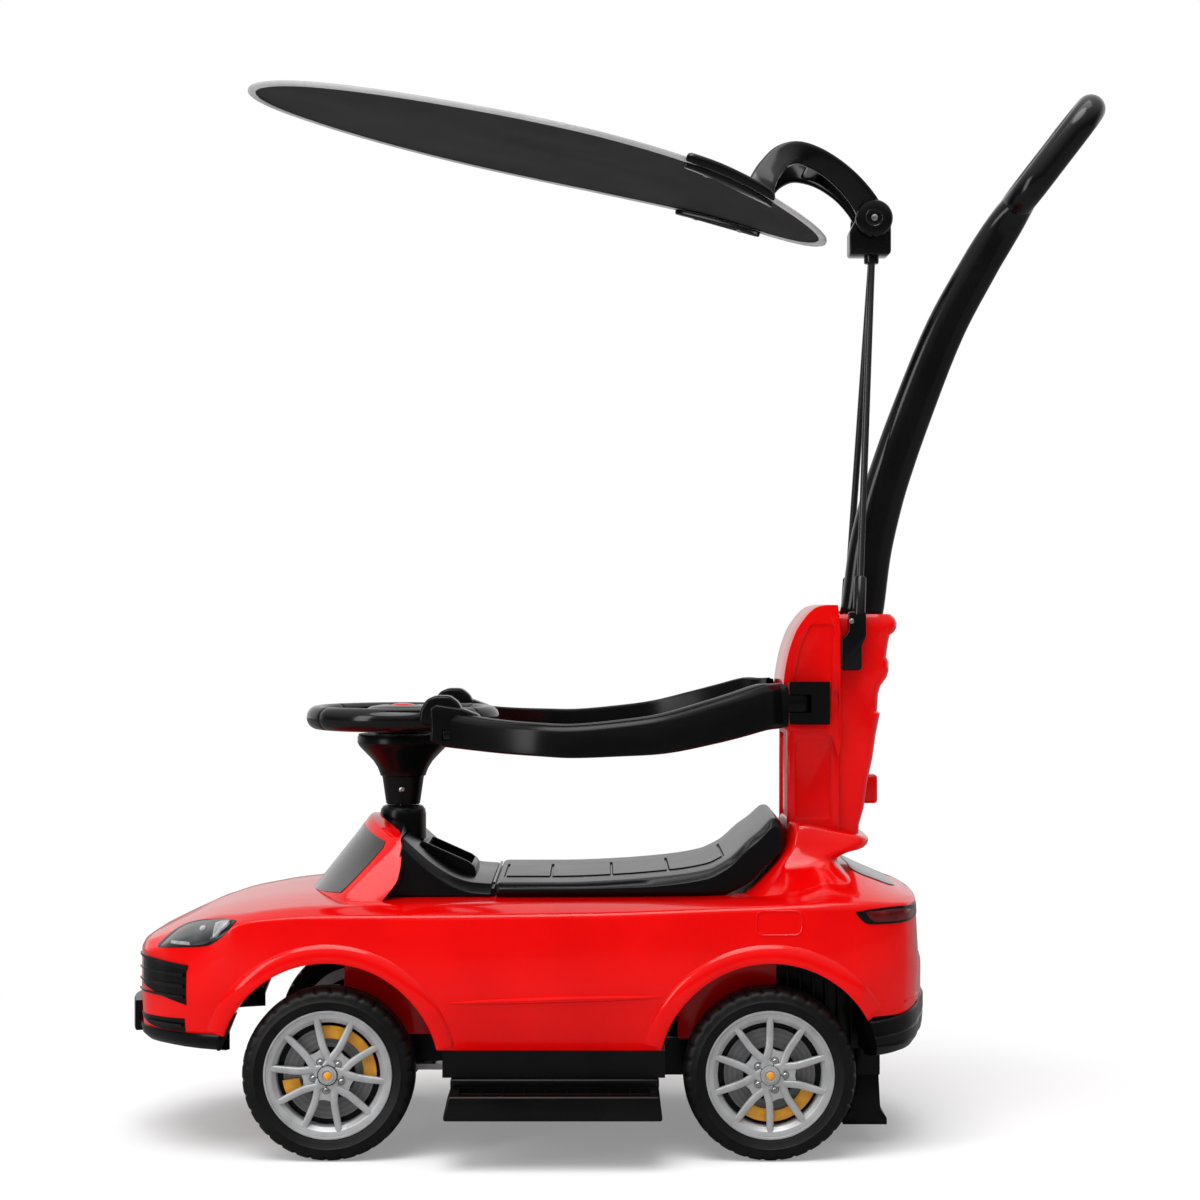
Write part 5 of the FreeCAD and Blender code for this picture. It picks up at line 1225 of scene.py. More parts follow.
def dash_piece():
    """Console and tray, with the tray's pocket and the column's hole cut through both."""
    inner, outer = DASH_HALVES
    rings = [[(x, y, z) for x, z in dash_outline(drop)]
             for y, drop in ((-outer, DASH_DROP), (-inner, 0), (inner, 0), (outer, DASH_DROP))]
    console = bevelled(loft("console", rings, BLACK), PART_EDGE, 3, DASH_BEND)
    tray = slab("tray", TRAY_CORNERS, TRAY_ROUND_SHARES, TRAY_SIDES, BLACK, SMALL_EDGE)
    hole_ends = (DASH_BASE - DASH_DROP, TRAY_POCKET[1][2])
    for piece in (console, tray):
        sleeve_hole = disc_solid("hole", SLEEVE_SPACE, *hole_ends, BLACK, (COLUMN, 0, 0))
        carved(piece, block("pocket", *TRAY_POCKET, BLACK), sleeve_hole)
    return joined("dash", console, tray)


put(dash_piece(), CAR, "black_plastic", "dash_console")
put(block("tray_floor", *TRAY_FLOOR, BLACK_GLOSS), CAR, "black_gloss")
put(block("hinge_strip", *HINGE_STRIP, BLACK), CAR, "black_plastic")

# Column sleeve, steering boss and its screw
SLEEVE_LINE = [(9.6, 243), (24, 243), (24, 328), (23.2, 332.5), (20.6, 336), (17.5, 337), (9.6, 337)]
BOSS_LINE = [(9.2, 338), (17.0, 338), (17.8, 339), (21.6, 365.5), (22.0, 367), (23.8, 368), (24.4, 370.5),
             (26.6, 376), (31, 383), (37, 389.5), (42.5, 395), (46, 399), (47.8, 402.5), (47.8, 408), (46.6, 411.4),
             (9.2, 411.4)]
SCREW_LINE = [(0, -21.6), (1.1, -21.6), (1.3, -22.2), (2.4, -22), (3.1, -21.2), (3.1, -18), (0, -18)]
BOSS_SCREW = (COLUMN, 0, 354)
BOSS_SHARP = 26
put(lathe("sleeve", SLEEVE_LINE, BLACK, (COLUMN, 0, 0)), CAR, "black_plastic", "column_sleeve")
boss = lathe("boss", BOSS_LINE, BLACK, (COLUMN, 0, 0), sharp=BOSS_SHARP)
put(boss, "steering", "black_plastic", "steering_boss")
boss_screw = lathe("screw", SCREW_LINE, STEEL, BOSS_SCREW, "y", SMALL_ROUND, False)
put_both(boss_screw, "boss_screws", "steering", "steel")

# Steering wheel: a grip ring with seams, a dished hub and three spokes
GRIP_MIDDLE = 429
GRIP_RING = 89.5
GRIP_RADII = (11.4, 12.2)
FULL_TURN = 360
SEAM_ANGLES = (35, 145, 215, 325)
SEAM_REACH = 0.9
SEAM_DEPTH_SHARE = 0.94
GRIP_STEPS = 4
GRIP_SIDES = 20
HUB_PROFILE = [(14.6, 412.2), (30, 412.2), (36, 418), (39.4, 427), (40, 433), (38.6, 437.4), (34, 440), (24, 441.6),
               (16.4, 442), (14.8, 441), (14.6, 434)]
SPOKE_STATIONS = ((33, 17, 421, 437), (48, 13.5, 422.5, 436), (66, 11.5, 423, 435.4), (84, 14, 422, 436))
SPOKE_TURNS = (0, 90, -90)
SPOKE_ROUND_SHARE = 0.6
SPOKE_CORNER_STEPS = 3


def grip_ring():
    """The grip's ring, dipped at its four seams."""
    rings = []
    for degree in range(0, FULL_TURN, GRIP_STEPS):
        near = [seam for seam in SEAM_ANGLES if abs(seam - degree) < GRIP_STEPS / 2]
        turns = [near[0] - SEAM_REACH, near[0], near[0] + SEAM_REACH] if near else [degree]
        for turn in turns:
            angle = math.radians(turn)
            share = SEAM_DEPTH_SHARE if near and turn == near[0] else 1
            ring = []
            for across, up in ring_points(1, GRIP_SIDES):
                reach = GRIP_RING + GRIP_RADII[0] * share * across
                ring.append((reach * math.cos(angle) + COLUMN, reach * math.sin(angle),
                             GRIP_MIDDLE + GRIP_RADII[1] * share * up))
            rings.append(ring)
    return loft("grip", rings, BLACK_GLOSS, wrap=True, sharp=ROUND_EDGE)


def wheel_spoke(turn):
    """A flat spoke: distance from the middle, half-width, underside and top at each station."""
    facing = Matrix.Rotation(math.radians(turn), 3, "Z")
    rings = []
    for reach, half, low, high in SPOKE_STATIONS:
        corners = [(-half, low), (half, low), (half, high), (-half, high)]
        rings.append([facing @ Vector((reach, across, up)) + Vector((COLUMN, 0, 0))
                      for across, up in rounded(corners, SPOKE_ROUND_SHARE, SPOKE_CORNER_STEPS)])
    return loft("spoke", rings, BLACK_GLOSS)


hub = lathe("hub", HUB_PROFILE, BLACK_GLOSS, (COLUMN, 0, 0))
steering_grip = joined("steering_grip", grip_ring(), hub, *[wheel_spoke(turn) for turn in SPOKE_TURNS])
put(steering_grip, "steering", "black_gloss", "steering_wheel")
HORN_LINE = [(0, 443.6), (5, 443.4), (9.5, 442.8), (12.6, 441.6), (13.8, 439.6), (13.8, 436), (0, 436)]
put(lathe("horn", HORN_LINE, RED, (COLUMN, 0, 0), closed=False), "horn", "red_gloss", "horn_button")

# Seat: station, half-width, underside and top
SEAT_ROWS = [
    (-125, 127, 257, 265), (-123.4, 129, 256, 267), (-120, 130, 256, 268), (-60, 130, 256, 268), (-6, 130, 256, 270),
    (54, 130, 256, 275), (89, 130, 256, 281), (104, 126.5, 256, 288), (112, 124, 258, 293), (129, 118, 266, 309),
    (139, 113.5, 275, 316.5), (145, 110.5, 281, 322), (150, 108, 285, 327), (154, 106, 288, 330),
    (158, 104, 291, 330.6), (162, 101, 294.5, 328.5), (165, 98, 299, 324), (167.6, 92, 310, 317),
]
SEAT_STATIONS = [row[0] for row in SEAT_ROWS]
SEAT_STEPS = 3
PANEL_ENDS = (-117, 106)
PANEL_CUTS = (-70, -8, 50)
GROOVES = (*PANEL_ENDS, *PANEL_CUTS)
PANEL_HALF = 66
PANEL_LIFT = 1.2
GROOVE_WIDTH = 1.6
GROOVE_DEPTH = 1.9
GROOVE_REACH_SHARE = 0.7
GROOVE_PLACE_SHARES = (-1, -0.5, 0.5, 1)
SEAT_BEVEL = (6.5, 8.5)
SEAT_FOOT = 3
SEAT_SHARP = 24
# The rounded upper edge: how it leaves the side, in shares of the bevel's depth, then shares of its width and depth
EDGE_START_SHARES = (0.125, 0.8)
EDGE_SHARES = [(0.85, 0.22), (1.3, 0.08), (2.4, 0)]


def seat_stations():
    """Stations along the seat, with four close ones at each groove across its panels."""
    places = spread(SEAT_STATIONS, SEAT_STEPS)
    for groove in GROOVES:
        places = [place for place in places if abs(place - groove) > 2 * GROOVE_WIDTH]
        places += [groove + GROOVE_WIDTH * share for share in GROOVE_PLACE_SHARES]
    return sorted(places)


def seat_ring(x):
    """The seat's section at a station, grooved round its panels."""
    half, low, high = row_values(SEAT_ROWS, x)
    panelled = PANEL_ENDS[0] - GROOVE_WIDTH < x < PANEL_ENDS[1] + GROOVE_WIDTH
    crossing = any(abs(x - groove) < GROOVE_WIDTH * GROOVE_REACH_SHARE for groove in GROOVES)
    border = GROOVE_DEPTH if panelled else 0
    field = GROOVE_DEPTH if crossing else -PANEL_LIFT
    field = field if panelled else 0
    inset, drop = (min(value, (high - low) / 2) for value in SEAT_BEVEL)
    side = [(half - SEAT_FOOT, low), (half, low + SEAT_FOOT * min(1, (high - low) / (4 * SEAT_FOOT))),
            (half, high - drop), (half - drop * EDGE_START_SHARES[0], high - drop * EDGE_START_SHARES[1])]
    side += [(half - inset * across, high - drop * down) for across, down in EDGE_SHARES]
    edge = PANEL_HALF + 2 * GROOVE_WIDTH
    top = [(edge, high), (edge - GROOVE_WIDTH / 2, high - border), (PANEL_HALF + GROOVE_WIDTH / 2, high - border),
           (PANEL_HALF, high - field), (PANEL_HALF / 2, high - field), (0, high - field)]
    right = [(x, y, z) for y, z in side + top]
    return right + [(x, -y, z) for x, y, z in reversed(right[:-1])]


seat = loft("seat_moulding", [seat_ring(x) for x in seat_stations()], BLACK, sharp=SEAT_SHARP)
put(seat, "seat", "black_plastic", "seat")

# Backrest front: an upper shell that overhangs a narrower lower part
UPPER_CORNERS = [(167.4, 418), (167.2, 445), (167.4, 470), (172.3, 498), (181, 522), (193, 538), (202, 545),
                 (212, 546.6), (223.5, 546.6), (226, 520), (226, 402), (223.5, 390), (217, 413), (200, 416)]
UPPER_ROUND_SHARES = (0.5, 0.5, 0.9, 0.9, 0.9, 0.9, 0.9, 0.5, 0.2, 0.1, 0.3, 0.2, 0.5, 0.5)
UPPER_HALF = 74
LOWER_CORNERS = [(172, 300), (172, 424), (226, 424), (226, 300)]
LOWER_HALF = 66
BACK_EDGE = 7.0
LOWER_EDGE = 3.0
# Panels let into the sides: outline and depth
UPPER_PANEL = [(195, 527), (184.5, 503), (178, 472), (178, 424), (215, 424), (219, 527)]
LOWER_PANEL = [(180, 328), (180, 404), (183, 408), (213, 408), (217, 402), (217, 328)]
FRONT_PANEL = [(-52, 312), (52, 312), (52, 405), (46, 412), (-46, 412), (-52, 405)]
PANEL_DEPTHS = {"upper": 1.6, "lower": 2.2, "front": 3.0}
DIMPLE_PLACE = (221, 447)
DIMPLE_RADII = (3.6, 11.5)
CUT_OVERRUN = 2.0
PANEL_ROUND_SHARE = 0.25


def side_recess(outline, half, depth):
    """Cutters for one panel on both sides."""
    line = rounded(outline, PANEL_ROUND_SHARE)
    reaches = (half - depth, half + CUT_OVERRUN)
    return [prism("recess", line, *sorted(side * reach for reach in reaches), RED) for side in SIDES]


def backrest():
    """The front half of the backrest with its sunk panels."""
    upper_sides = (-UPPER_HALF, UPPER_HALF)
    upper = slab("upper", UPPER_CORNERS, UPPER_ROUND_SHARES, upper_sides, RED, BACK_EDGE, 4, EASY_EDGE)
    dimple = [(DIMPLE_PLACE[0] + DIMPLE_RADII[0] * across, DIMPLE_PLACE[1] + DIMPLE_RADII[1] * up)
              for across, up in ring_points(1, KNOB_ROUND)]
    carved(upper, *side_recess(UPPER_PANEL, UPPER_HALF, PANEL_DEPTHS["upper"]),
           *side_recess(dimple, UPPER_HALF, PANEL_DEPTHS["lower"]))
    bevelled(upper, THIN_EDGE, angle=SOFT_EDGE)
    lower = bevelled(prism("lower", LOWER_CORNERS, -LOWER_HALF, LOWER_HALF, RED), LOWER_EDGE, 3)
    front = prism("front", rounded(FRONT_PANEL, PANEL_ROUND_SHARE), LOWER_CORNERS[0][0] - CUT_OVERRUN,
                  LOWER_CORNERS[0][0] + PANEL_DEPTHS["front"], RED, "x")
    carved(lower, *side_recess(LOWER_PANEL, LOWER_HALF, PANEL_DEPTHS["lower"]), front)
    bevelled(lower, THIN_EDGE, angle=SOFT_EDGE)
    return joined("backrest_shell", upper, lower)


put(backrest(), CAR, "red_gloss", "backrest_front")

# Rear sleeve: level, rear edge and half-width, with the steps of its rear edge
SLEEVE_ROWS = [
    (300, 247, 60), (320, 248, 60), (337, 253, 60), (368, 257.5, 60.5), (388, 262, 61), (413, 265.5, 61.5),
    (435, 270, 62), (437, 266.8, 62), (455, 268, 62), (463, 270.5, 62), (472, 277, 62), (479, 279, 62),
    (488, 279, 62), (491.5, 277.6, 62), (493, 276.4, 62), (505, 278, 62), (515, 280, 62), (518.5, 284.6, 61.8),
    (523, 287.2, 61.4), (528, 287.6, 61), (533, 285.6, 59.5), (537, 281, 57),
]
SLEEVE_FRONT = 212
SLEEVE_SQUARES = (0.34, 0.34)
SLEEVE_STEPS = 56
SLEEVE_SHARP = 34
BORE_RADII = (15.6, 14.6)
BORE_TOP = (256, 0, 548)
BORE_LEAN = math.radians(10.5)
BORE_LENGTH = 206
MOUTH_RADII = (24, 18.6)
MOUTH_LEVELS = (529, 575)
BUTTON_HOLE = ((240, -12.4, 338.6), (275, 12.4, 369.4))


def bore_cutters():
    """The handle's leaning bore and the wider mouth above it."""
    along = Vector((math.sin(BORE_LEAN), 0, math.cos(BORE_LEAN)))
    fore = Vector((math.cos(BORE_LEAN), 0, -math.sin(BORE_LEAN)))
    top = Vector(BORE_TOP)
    bore_ends = (top - along * BORE_LENGTH, top + along * BORE_RADII[0])
    mouth_ends = [top + along * (level - BORE_TOP[2]) for level in MOUTH_LEVELS]
    cutters = []
    for ends, (long, wide) in ((bore_ends, BORE_RADII), (mouth_ends, MOUTH_RADII)):
        rings = [[end + fore * (long * across) + Vector((0, wide * up, 0))
                  for across, up in ring_points(1, CAP_ROUND)] for end in ends]
        cutters.append(loft("bore", rings, RED))
    return cutters


sleeve_rings = [plan_ring(SLEEVE_FRONT, rear, half, level, SLEEVE_SQUARES, SLEEVE_STEPS)
                for level, rear, half in SLEEVE_ROWS]
sleeve = loft("backrest_sleeve", sleeve_rings, RED)
carved(sleeve, *bore_cutters(), block("button_hole", *BUTTON_HOLE, RED), sharp=SLEEVE_SHARP)
put(sleeve, CAR, "red_gloss", "backrest_rear")
BUTTON_LOW = (246.5, -12, 339)
BUTTON_HIGH = (270, 12, 369)
BUTTON_EDGE = 3.4
button = block("release_button", BUTTON_LOW, BUTTON_HIGH, RED, BUTTON_EDGE, 4)
put(button, "handle_button", "red_gloss", "handle_button")
dressed("guard_brackets", BLACK, SMALL_EDGE)

# Guard arms: along, outwards, underside and height of the left arm's stations
ARM_ROWS = [
    (165.0, -100.5, 423, 44.6), (156, -106, 421.9, 45.1), (142.2, -125, 421.1, 46), (116, -148, 415, 44.8),
    (88, -165, 409, 43), (41.9, -185, 401, 39.1), (-2.9, -190, 398.5, 35.4), (-48.1, -190, 397, 33.1),
    (-79.3, -183.7, 398.5, 32.2), (-110, -168, 399.9, 32.2), (-141, -145.9, 401.9, 33.1), (-172, -119, 404, 36.4),
]
ARM_THICKNESS = 22
ARM_STEPS = 4
# Across from the outer face and height; a height below zero is measured down from the top
ARM_SECTION = [(0, 2.4), (0, -8), (0.8, -6), (3.4, -2.2), (5.6, -1.2), (7.0, -2.8), (9.4, -2.8), (10.8, -0.8),
               (13, 0.0), (19.4, -0.2), (21.4, -1.6), (22, -4), (22, 2.4), (20.6, 0.6), (18, 0.01), (4, 0.01),
               (1.4, 0.6)]


def arm_bar():
    """The left arm's long bar, its section upright all the way."""
    path = smooth_path([(x, y, low) for x, y, low, tall in ARM_ROWS], ARM_STEPS)
    heights = smooth_path([(x, y, tall) for x, y, low, tall in ARM_ROWS], ARM_STEPS)
    rings = []
    for (spot, heading), height in zip(headings(path), heights):
        inward = Vector((-heading.y, heading.x, 0)).normalized()
        inward = -inward if inward.y < 0 else inward
        rings.append([spot + inward * (across - ARM_THICKNESS / 2) + Vector((0, 0, up if up > 0 else height.z + up))
                      for across, up in ARM_SECTION])
    return loft("bar", rings, BLACK)


TONGUE_LOW = 438.2
TONGUE_HIGH = 455.8
TONGUE_LINE = [(172.8, -90.2), (142, -90.2), (142, -109.8), (183, -109.8), (190, -107), (193, -100), (190, -93),
               (183, -90.2)]
HEAD_CORNERS = [(-190, 410), (-189, 424), (-190, 443), (-184, 447), (-158, 443), (-140, 436), (-140, 405),
                (-170, 405.4)]
HEAD_SIDES = (-136, -105)
HEAD_ROUND_SHARE = 0.4
HEAD_EDGE = 2.6
HOOD_CORNERS = [(-202, 427), (-201, 441), (-194, 452), (-185, 455.6), (-171, 455.6), (-162, 449), (-156, 437),
                (-156, 424)]
HOOD_SIDES = (-127, -101)
HOOD_ROUND_SHARE = 0.7
HOOD_EDGE = 5.0
GUARD_SHARP = 32
LATCH_WELL = ((-178, -138, 411), (-150, -124, 422))
LATCH_LOW = (-177, -135.2, 412)
LATCH_HIGH = (-164, -128, 421)


def guard_arm():
    """The left arm: bar, tongue in its bracket, head with the latch's well, and the hood over it."""
    tongue = bevelled(prism("tongue", TONGUE_LINE, TONGUE_LOW, TONGUE_HIGH, BLACK, "z"), THIN_EDGE)
    head = slab("head", HEAD_CORNERS, HEAD_ROUND_SHARE, HEAD_SIDES, BLACK, HEAD_EDGE, 3, EASY_EDGE)
    carved(head, block("well", *LATCH_WELL, BLACK))
    hood = slab("hood", HOOD_CORNERS, HOOD_ROUND_SHARE, HOOD_SIDES, BLACK, HOOD_EDGE, 4, EASY_EDGE)
    return joined("guard_left_bar", arm_bar(), tongue, head, hood, sharp=GUARD_SHARP)


def side_pair(made, left_name, right_name, bodies, slot_name, replaced):
    """A left piece and its mirror image, each riding its own body."""
    other = mirrored(made, right_name)
    made.name = left_name
    for piece, body, node_name in ((made, bodies[0], replaced[0]), (other, bodies[1], replaced[1])):
        put(piece, body, slot_name, node_name)


side_pair(guard_arm(), "guard_bar_left", "guard_bar_right", ("guard_left", "guard_right"), "black_plastic",
          ("guard_arm_left", "guard_arm_right"))
side_pair(block("latch", LATCH_LOW, LATCH_HIGH, BLACK_GLOSS, THIN_EDGE), "latch_pad_left", "latch_pad_right",
          ("latch_left", "latch_right"), "black_plastic", ("guard_button_left", "guard_button_right"))

# Push handle: stations of the shaft, fore-and-aft and side radius; then the hand loop
HANDLE_ROWS = [
    (253.2, 533, 22.5, 17), (256, 548.2, 22.5, 17), (263, 601.4, 22.5, 17), (272, 642.4, 22.4, 17),
    (282, 677.4, 22, 16.8), (304, 740.5, 21.6, 16.4), (342, 835.3, 20.7, 15.8), (380, 905.3, 19.8, 15.6),
    (396, 931.5, 19.3, 16.6), (407, 948.6, 18.4, 21), (416, 962, 16.8, 28), (422, 970, 15.2, 32),
]
HANDLE_STEPS = 6
HANDLE_SIDES = 36
SHAFT_SQUARE = 0.82
SEAM_DIP = 0.7
LOOP_START = (414.6, 962.6)
LOOP_LEAN = math.radians(37.5)
LOOP_LENGTH = 130.4
LOOP_HALF = 36
LOOP_TUBE = 15.4
LOOP_STEPS = 20
TONGUE_RADII = (14.8, 13.8)
HANDLE_LEAN = math.radians(10.5)
TONGUE_REACH = 205


def shaft_ring(spot, heading, fore, side):
    """An oval across the shaft, dipped at the seam on both of its sides."""
    forward = Vector((heading.z, 0, -heading.x)).normalized()
    ring = []
    for across, up in ring_points(1, HANDLE_SIDES):
        across = squared(across, SHAFT_SQUARE)
        dip = SEAM_DIP if abs(across) < MERGE_LENGTH else 0
        up = squared(up, SHAFT_SQUARE)
        ring.append(spot + forward * (fore * across) + Vector((0, math.copysign(abs(side * up) - dip, up), 0)))
    return ring


def handle_shaft():
    """The curved shaft, its radii read by height."""
    path = smooth_path([(x, 0, z) for x, z, fore, side in HANDLE_ROWS], HANDLE_STEPS)
    radii = [row[1:] for row in HANDLE_ROWS]
    rings = [shaft_ring(spot, heading, *row_values(radii, spot.z)) for spot, heading in headings(path)]
    return loft("shaft", rings, BLACK_GLOSS)


def hand_loop():
    """The closed grip at the shaft's head: two half circles and the straights between them."""
    along = Vector((math.sin(LOOP_LEAN), 0, math.cos(LOOP_LEAN)))
    start = Vector((LOOP_START[0], 0, LOOP_START[1]))
    low = start + along * LOOP_HALF
    high = start + along * (LOOP_LENGTH - LOOP_HALF)
    path = []
    for middle, first in ((high, 0), (low, math.pi)):
        for across, up in ring_points(LOOP_HALF, LOOP_STEPS, first, math.pi):
            path.append(middle + Vector((0, across, 0)) + along * up)
    return tube("loop", path, LOOP_TUBE, BLACK_GLOSS, KNOB_ROUND, True)


def tongue():
    """The straight end that slides in the backrest's bore."""
    along = Vector((math.sin(HANDLE_LEAN), 0, math.cos(HANDLE_LEAN)))
    top = Vector((HANDLE_ROWS[0][0], 0, HANDLE_ROWS[0][1]))
    return loft("tongue", [shaft_ring(top - along * reach, along, *TONGUE_RADII) for reach in (TONGUE_REACH, 0)],
                BLACK_GLOSS)


handle_grip = joined("handle_grip", handle_shaft(), hand_loop(), tongue(), sharp=EASY_EDGE)
put(handle_grip, "handle", "black_gloss", "push_handle")

# Canopy: a crowned oval of cloth in a bound edge
CANOPY_MIDDLE = (-86.5, 0, 1002)
CANOPY_TILT = math.radians(14.8)
CANOPY_HALVES = (313.2, 195)
# How far the cloth stands above the straight line between its ends: highest behind the middle
CROWN_PLACES = (-313.2, -256, -173, -80, 0, 70, 130, 180, 222, 262, 313.2)
CROWN_LIFTS = (3, 7, 11.5, 16.5, 21, 24, 25, 24, 20, 13.5, 5)
BINDING_INSET = 7
BINDING_RADII = (4.4, 2.6)
BINDING_SINK = 1.0
CLOTH_THICKNESS = 1.2
CLOTH_RINGS = 14
CLOTH_STEPS = 120
CLOTH_SAG = 2.5
BAND_SIDES = 12
BAND_SQUARE = 0.7


def canopy_point(u, v, lift=0.0):
    """A place on the canopy's curve, from its length and width and how far above the cloth."""
    z = table_value(CROWN_PLACES, CROWN_LIFTS, u) + lift
    x = u * math.cos(CANOPY_TILT) + z * math.sin(CANOPY_TILT)
    return Vector((x, v, z * math.cos(CANOPY_TILT) - u * math.sin(CANOPY_TILT))) + Vector(CANOPY_MIDDLE)


def cloth_sheet():
    """One stretched oval, thin and closed, hanging a little between its edges."""
    halves = [half - BINDING_INSET + BINDING_SINK for half in CANOPY_HALVES]
    points = []
    for lift in (0, -CLOTH_THICKNESS):
        points.append(canopy_point(0, 0, lift - CLOTH_SAG))
        for ring in range(1, CLOTH_RINGS + 1):
            share = ring / CLOTH_RINGS
            sag = CLOTH_SAG * (1 - share ** 2)
            points += [canopy_point(halves[0] * share * across, halves[1] * share * up, lift - sag)
                       for across, up in ring_points(1, CLOTH_STEPS)]
    layer = 1 + CLOTH_RINGS * CLOTH_STEPS
    faces = []
    for first in (0, layer):
        faces += [(first, first + 1 + step, first + 1 + (step + 1) % CLOTH_STEPS) for step in range(CLOTH_STEPS)]
        for row in strip_faces(CLOTH_RINGS, CLOTH_STEPS, False, True):
            faces.append(tuple(first + 1 + corner for corner in row))
    edge = layer - CLOTH_STEPS
    for step in range(CLOTH_STEPS):
        beside = (step + 1) % CLOTH_STEPS
        faces.append((edge + step, edge + beside, edge + beside + layer, edge + step + layer))
    sheet = build("canopy_sheet", points, faces, CLOTH, sharp=ROUND_EDGE)
    sheet.data.materials.append(CLOTH_TOP)
    for face in sheet.data.polygons:
        face.material_index = 1 if face.normal.z > 0 else 0
    return sheet


def edge_ring(name, inset, radii, lift, material, square=BAND_SQUARE):
    """A soft band round the canopy's edge."""
    rings = []
    for across, up in ring_points(1, CLOTH_STEPS):
        outward = Vector((across / CANOPY_HALVES[0], up / CANOPY_HALVES[1])).normalized()
        middle = Vector((CANOPY_HALVES[0] * across, CANOPY_HALVES[1] * up)) - outward * inset
        ring = []
        for wide, tall in ring_points(1, BAND_SIDES):
            place = middle + outward * (squared(wide, square) * radii[0])
            ring.append(canopy_point(place.x, place.y, lift + squared(tall, square) * radii[1]))
        rings.append(ring)
    return loft(name, rings, material, wrap=True, sharp=ROUND_EDGE)


cloth = cloth_sheet()
binding = edge_ring("canopy_binding", BINDING_RADII[0], BINDING_RADII, -CLOTH_THICKNESS / 2, BINDING)
PIPING_RADIUS = 1.3
piping = edge_ring("canopy_piping", BINDING_RADII[0] * 2 + PIPING_RADIUS / 2, (PIPING_RADIUS, PIPING_RADIUS),
                   -CLOTH_THICKNESS / 2, CLOTH_TOP, 1.0)
put(cloth, "canopy", "canopy_cloth", "canopy_fabric")
put(binding, "canopy", "binding", "canopy_ring")
put(piping, "canopy", "canopy_cloth")

# Clamps: a rounded bar over the canopy's edge, a lip outside it and a flat plate under it, on each side
CLAMP_ALONG = (150, 246)
CLAMP_STEPS = 64
CLAMP_SQUARE = 0.55
# Outer and inner side from the edge inwards, then heights above the cloth with shares of the full outline
CLAMP_BAR = (-7, 18, [(1.0, 1.0), (3.0, 1.0), (5.4, 0.93), (6.6, 0.8), (6.9, 0.66)])
CLAMP_LIP = (-7, -0.3, [(-3.4, 0.5), (-2.8, 0.85), (-1.6, 1.0), (2.0, 1.0)])
CLAMP_PLATE = (1, 17, [(-8.0, 0.86), (-7.6, 0.94), (-6.4, 1.0), (-3.4, 1.0)])


def edge_reach(u):
    """Half the canopy's width at a place along it."""
    return CANOPY_HALVES[1] * math.sqrt(1 - (u / CANOPY_HALVES[0]) ** 2)


def clamp_piece(outer, inner, layers):
    """A long rounded plate that follows the canopy's edge."""
    middle = sum(CLAMP_ALONG) / 2
    length = (CLAMP_ALONG[1] - CLAMP_ALONG[0]) / 2
    inset = (outer + inner) / 2
    width = (inner - outer) / 2
    rings = []
    for lift, share in layers:
        ring = []
        for across, up in ring_points(1, CLAMP_STEPS):
            across, up = (squared(value, CLAMP_SQUARE) for value in (across, up))
            u = middle + across * (length - width * (1 - share))
            ring.append(canopy_point(u, inset - edge_reach(u) + up * width * share, lift))
        rings.append(ring)
    return loft("clamp", rings, BLACK_GLOSS)


CLAMP_SCREWS = (174, 224)
CLAMP_SCREW_LINE = [(0, -9.8), (1.6, -9.7), (3.2, -9.2), (3.8, -8.2), (3.8, -6.4), (0, -6.4)]


def clamp_screw(u):
    """A screw under the clamp's plate, square to the canopy."""
    spot = canopy_point(u, sum(CLAMP_PLATE[:2]) / 2 - edge_reach(u))
    screw = lathe("screw", CLAMP_SCREW_LINE, STEEL, count=TINY_ROUND, closed=False)
    screw.data.transform(Matrix.Translation(spot * MM) @ Matrix.Rotation(CANOPY_TILT, 4, "Y"))
    return screw


clamps = joined("clamp_plates", *[clamp_piece(*sizes) for sizes in (CLAMP_BAR, CLAMP_LIP, CLAMP_PLATE)])
put_both(clamps, "clamp_pair", "canopy", "black_gloss", "canopy_clamps")
put_both(joined("screws", *[clamp_screw(u) for u in CLAMP_SCREWS]), "clamp_screws", "canopy", "steel")

# Yoke: stations of the left arm, its width across the bend and its thickness
YOKE_ROWS = [
    (264.7, -23, 948, 30, 8), (252.5, -27, 968.5, 27, 9), (233.5, -34, 988.5, 25, 10), (209.5, -45, 1004, 24, 11),
    (185, -60, 1010.5, 24, 12), (166, -78, 1004, 24, 13), (152.5, -97, 988.5, 25, 13), (144.5, -112, 974, 27, 13),
    (141, -118, 964, 28, 13),
]
YOKE_STEPS = 5
YOKE_SQUARE = 0.45
YOKE_SIDES = 20
WEB_PLACE = (206, 1003)
WEB_HALF = 46
WEB_RADII = (12, 5)
LUG_RADIUS_OUT = 17
LUG_SIDES = (-27, -18.6)
KNOB_LINE = [(4.2, -27), (18.8, -27), (19.4, -28.4), (19.2, -32.4), (17.8, -34.6), (15, -35.4), (9.6, -35.4),
             (8.6, -34.2), (7.4, -33.6), (4.2, -33.6)]
HINGE_SPOT = (264.7, 0, 948)
KNOB_SCREW_LINE = [(0, -35.4), (1.4, -35.2), (1.7, -36), (3.4, -35.6), (4.0, -34.8), (4.0, -30), (0, -30)]


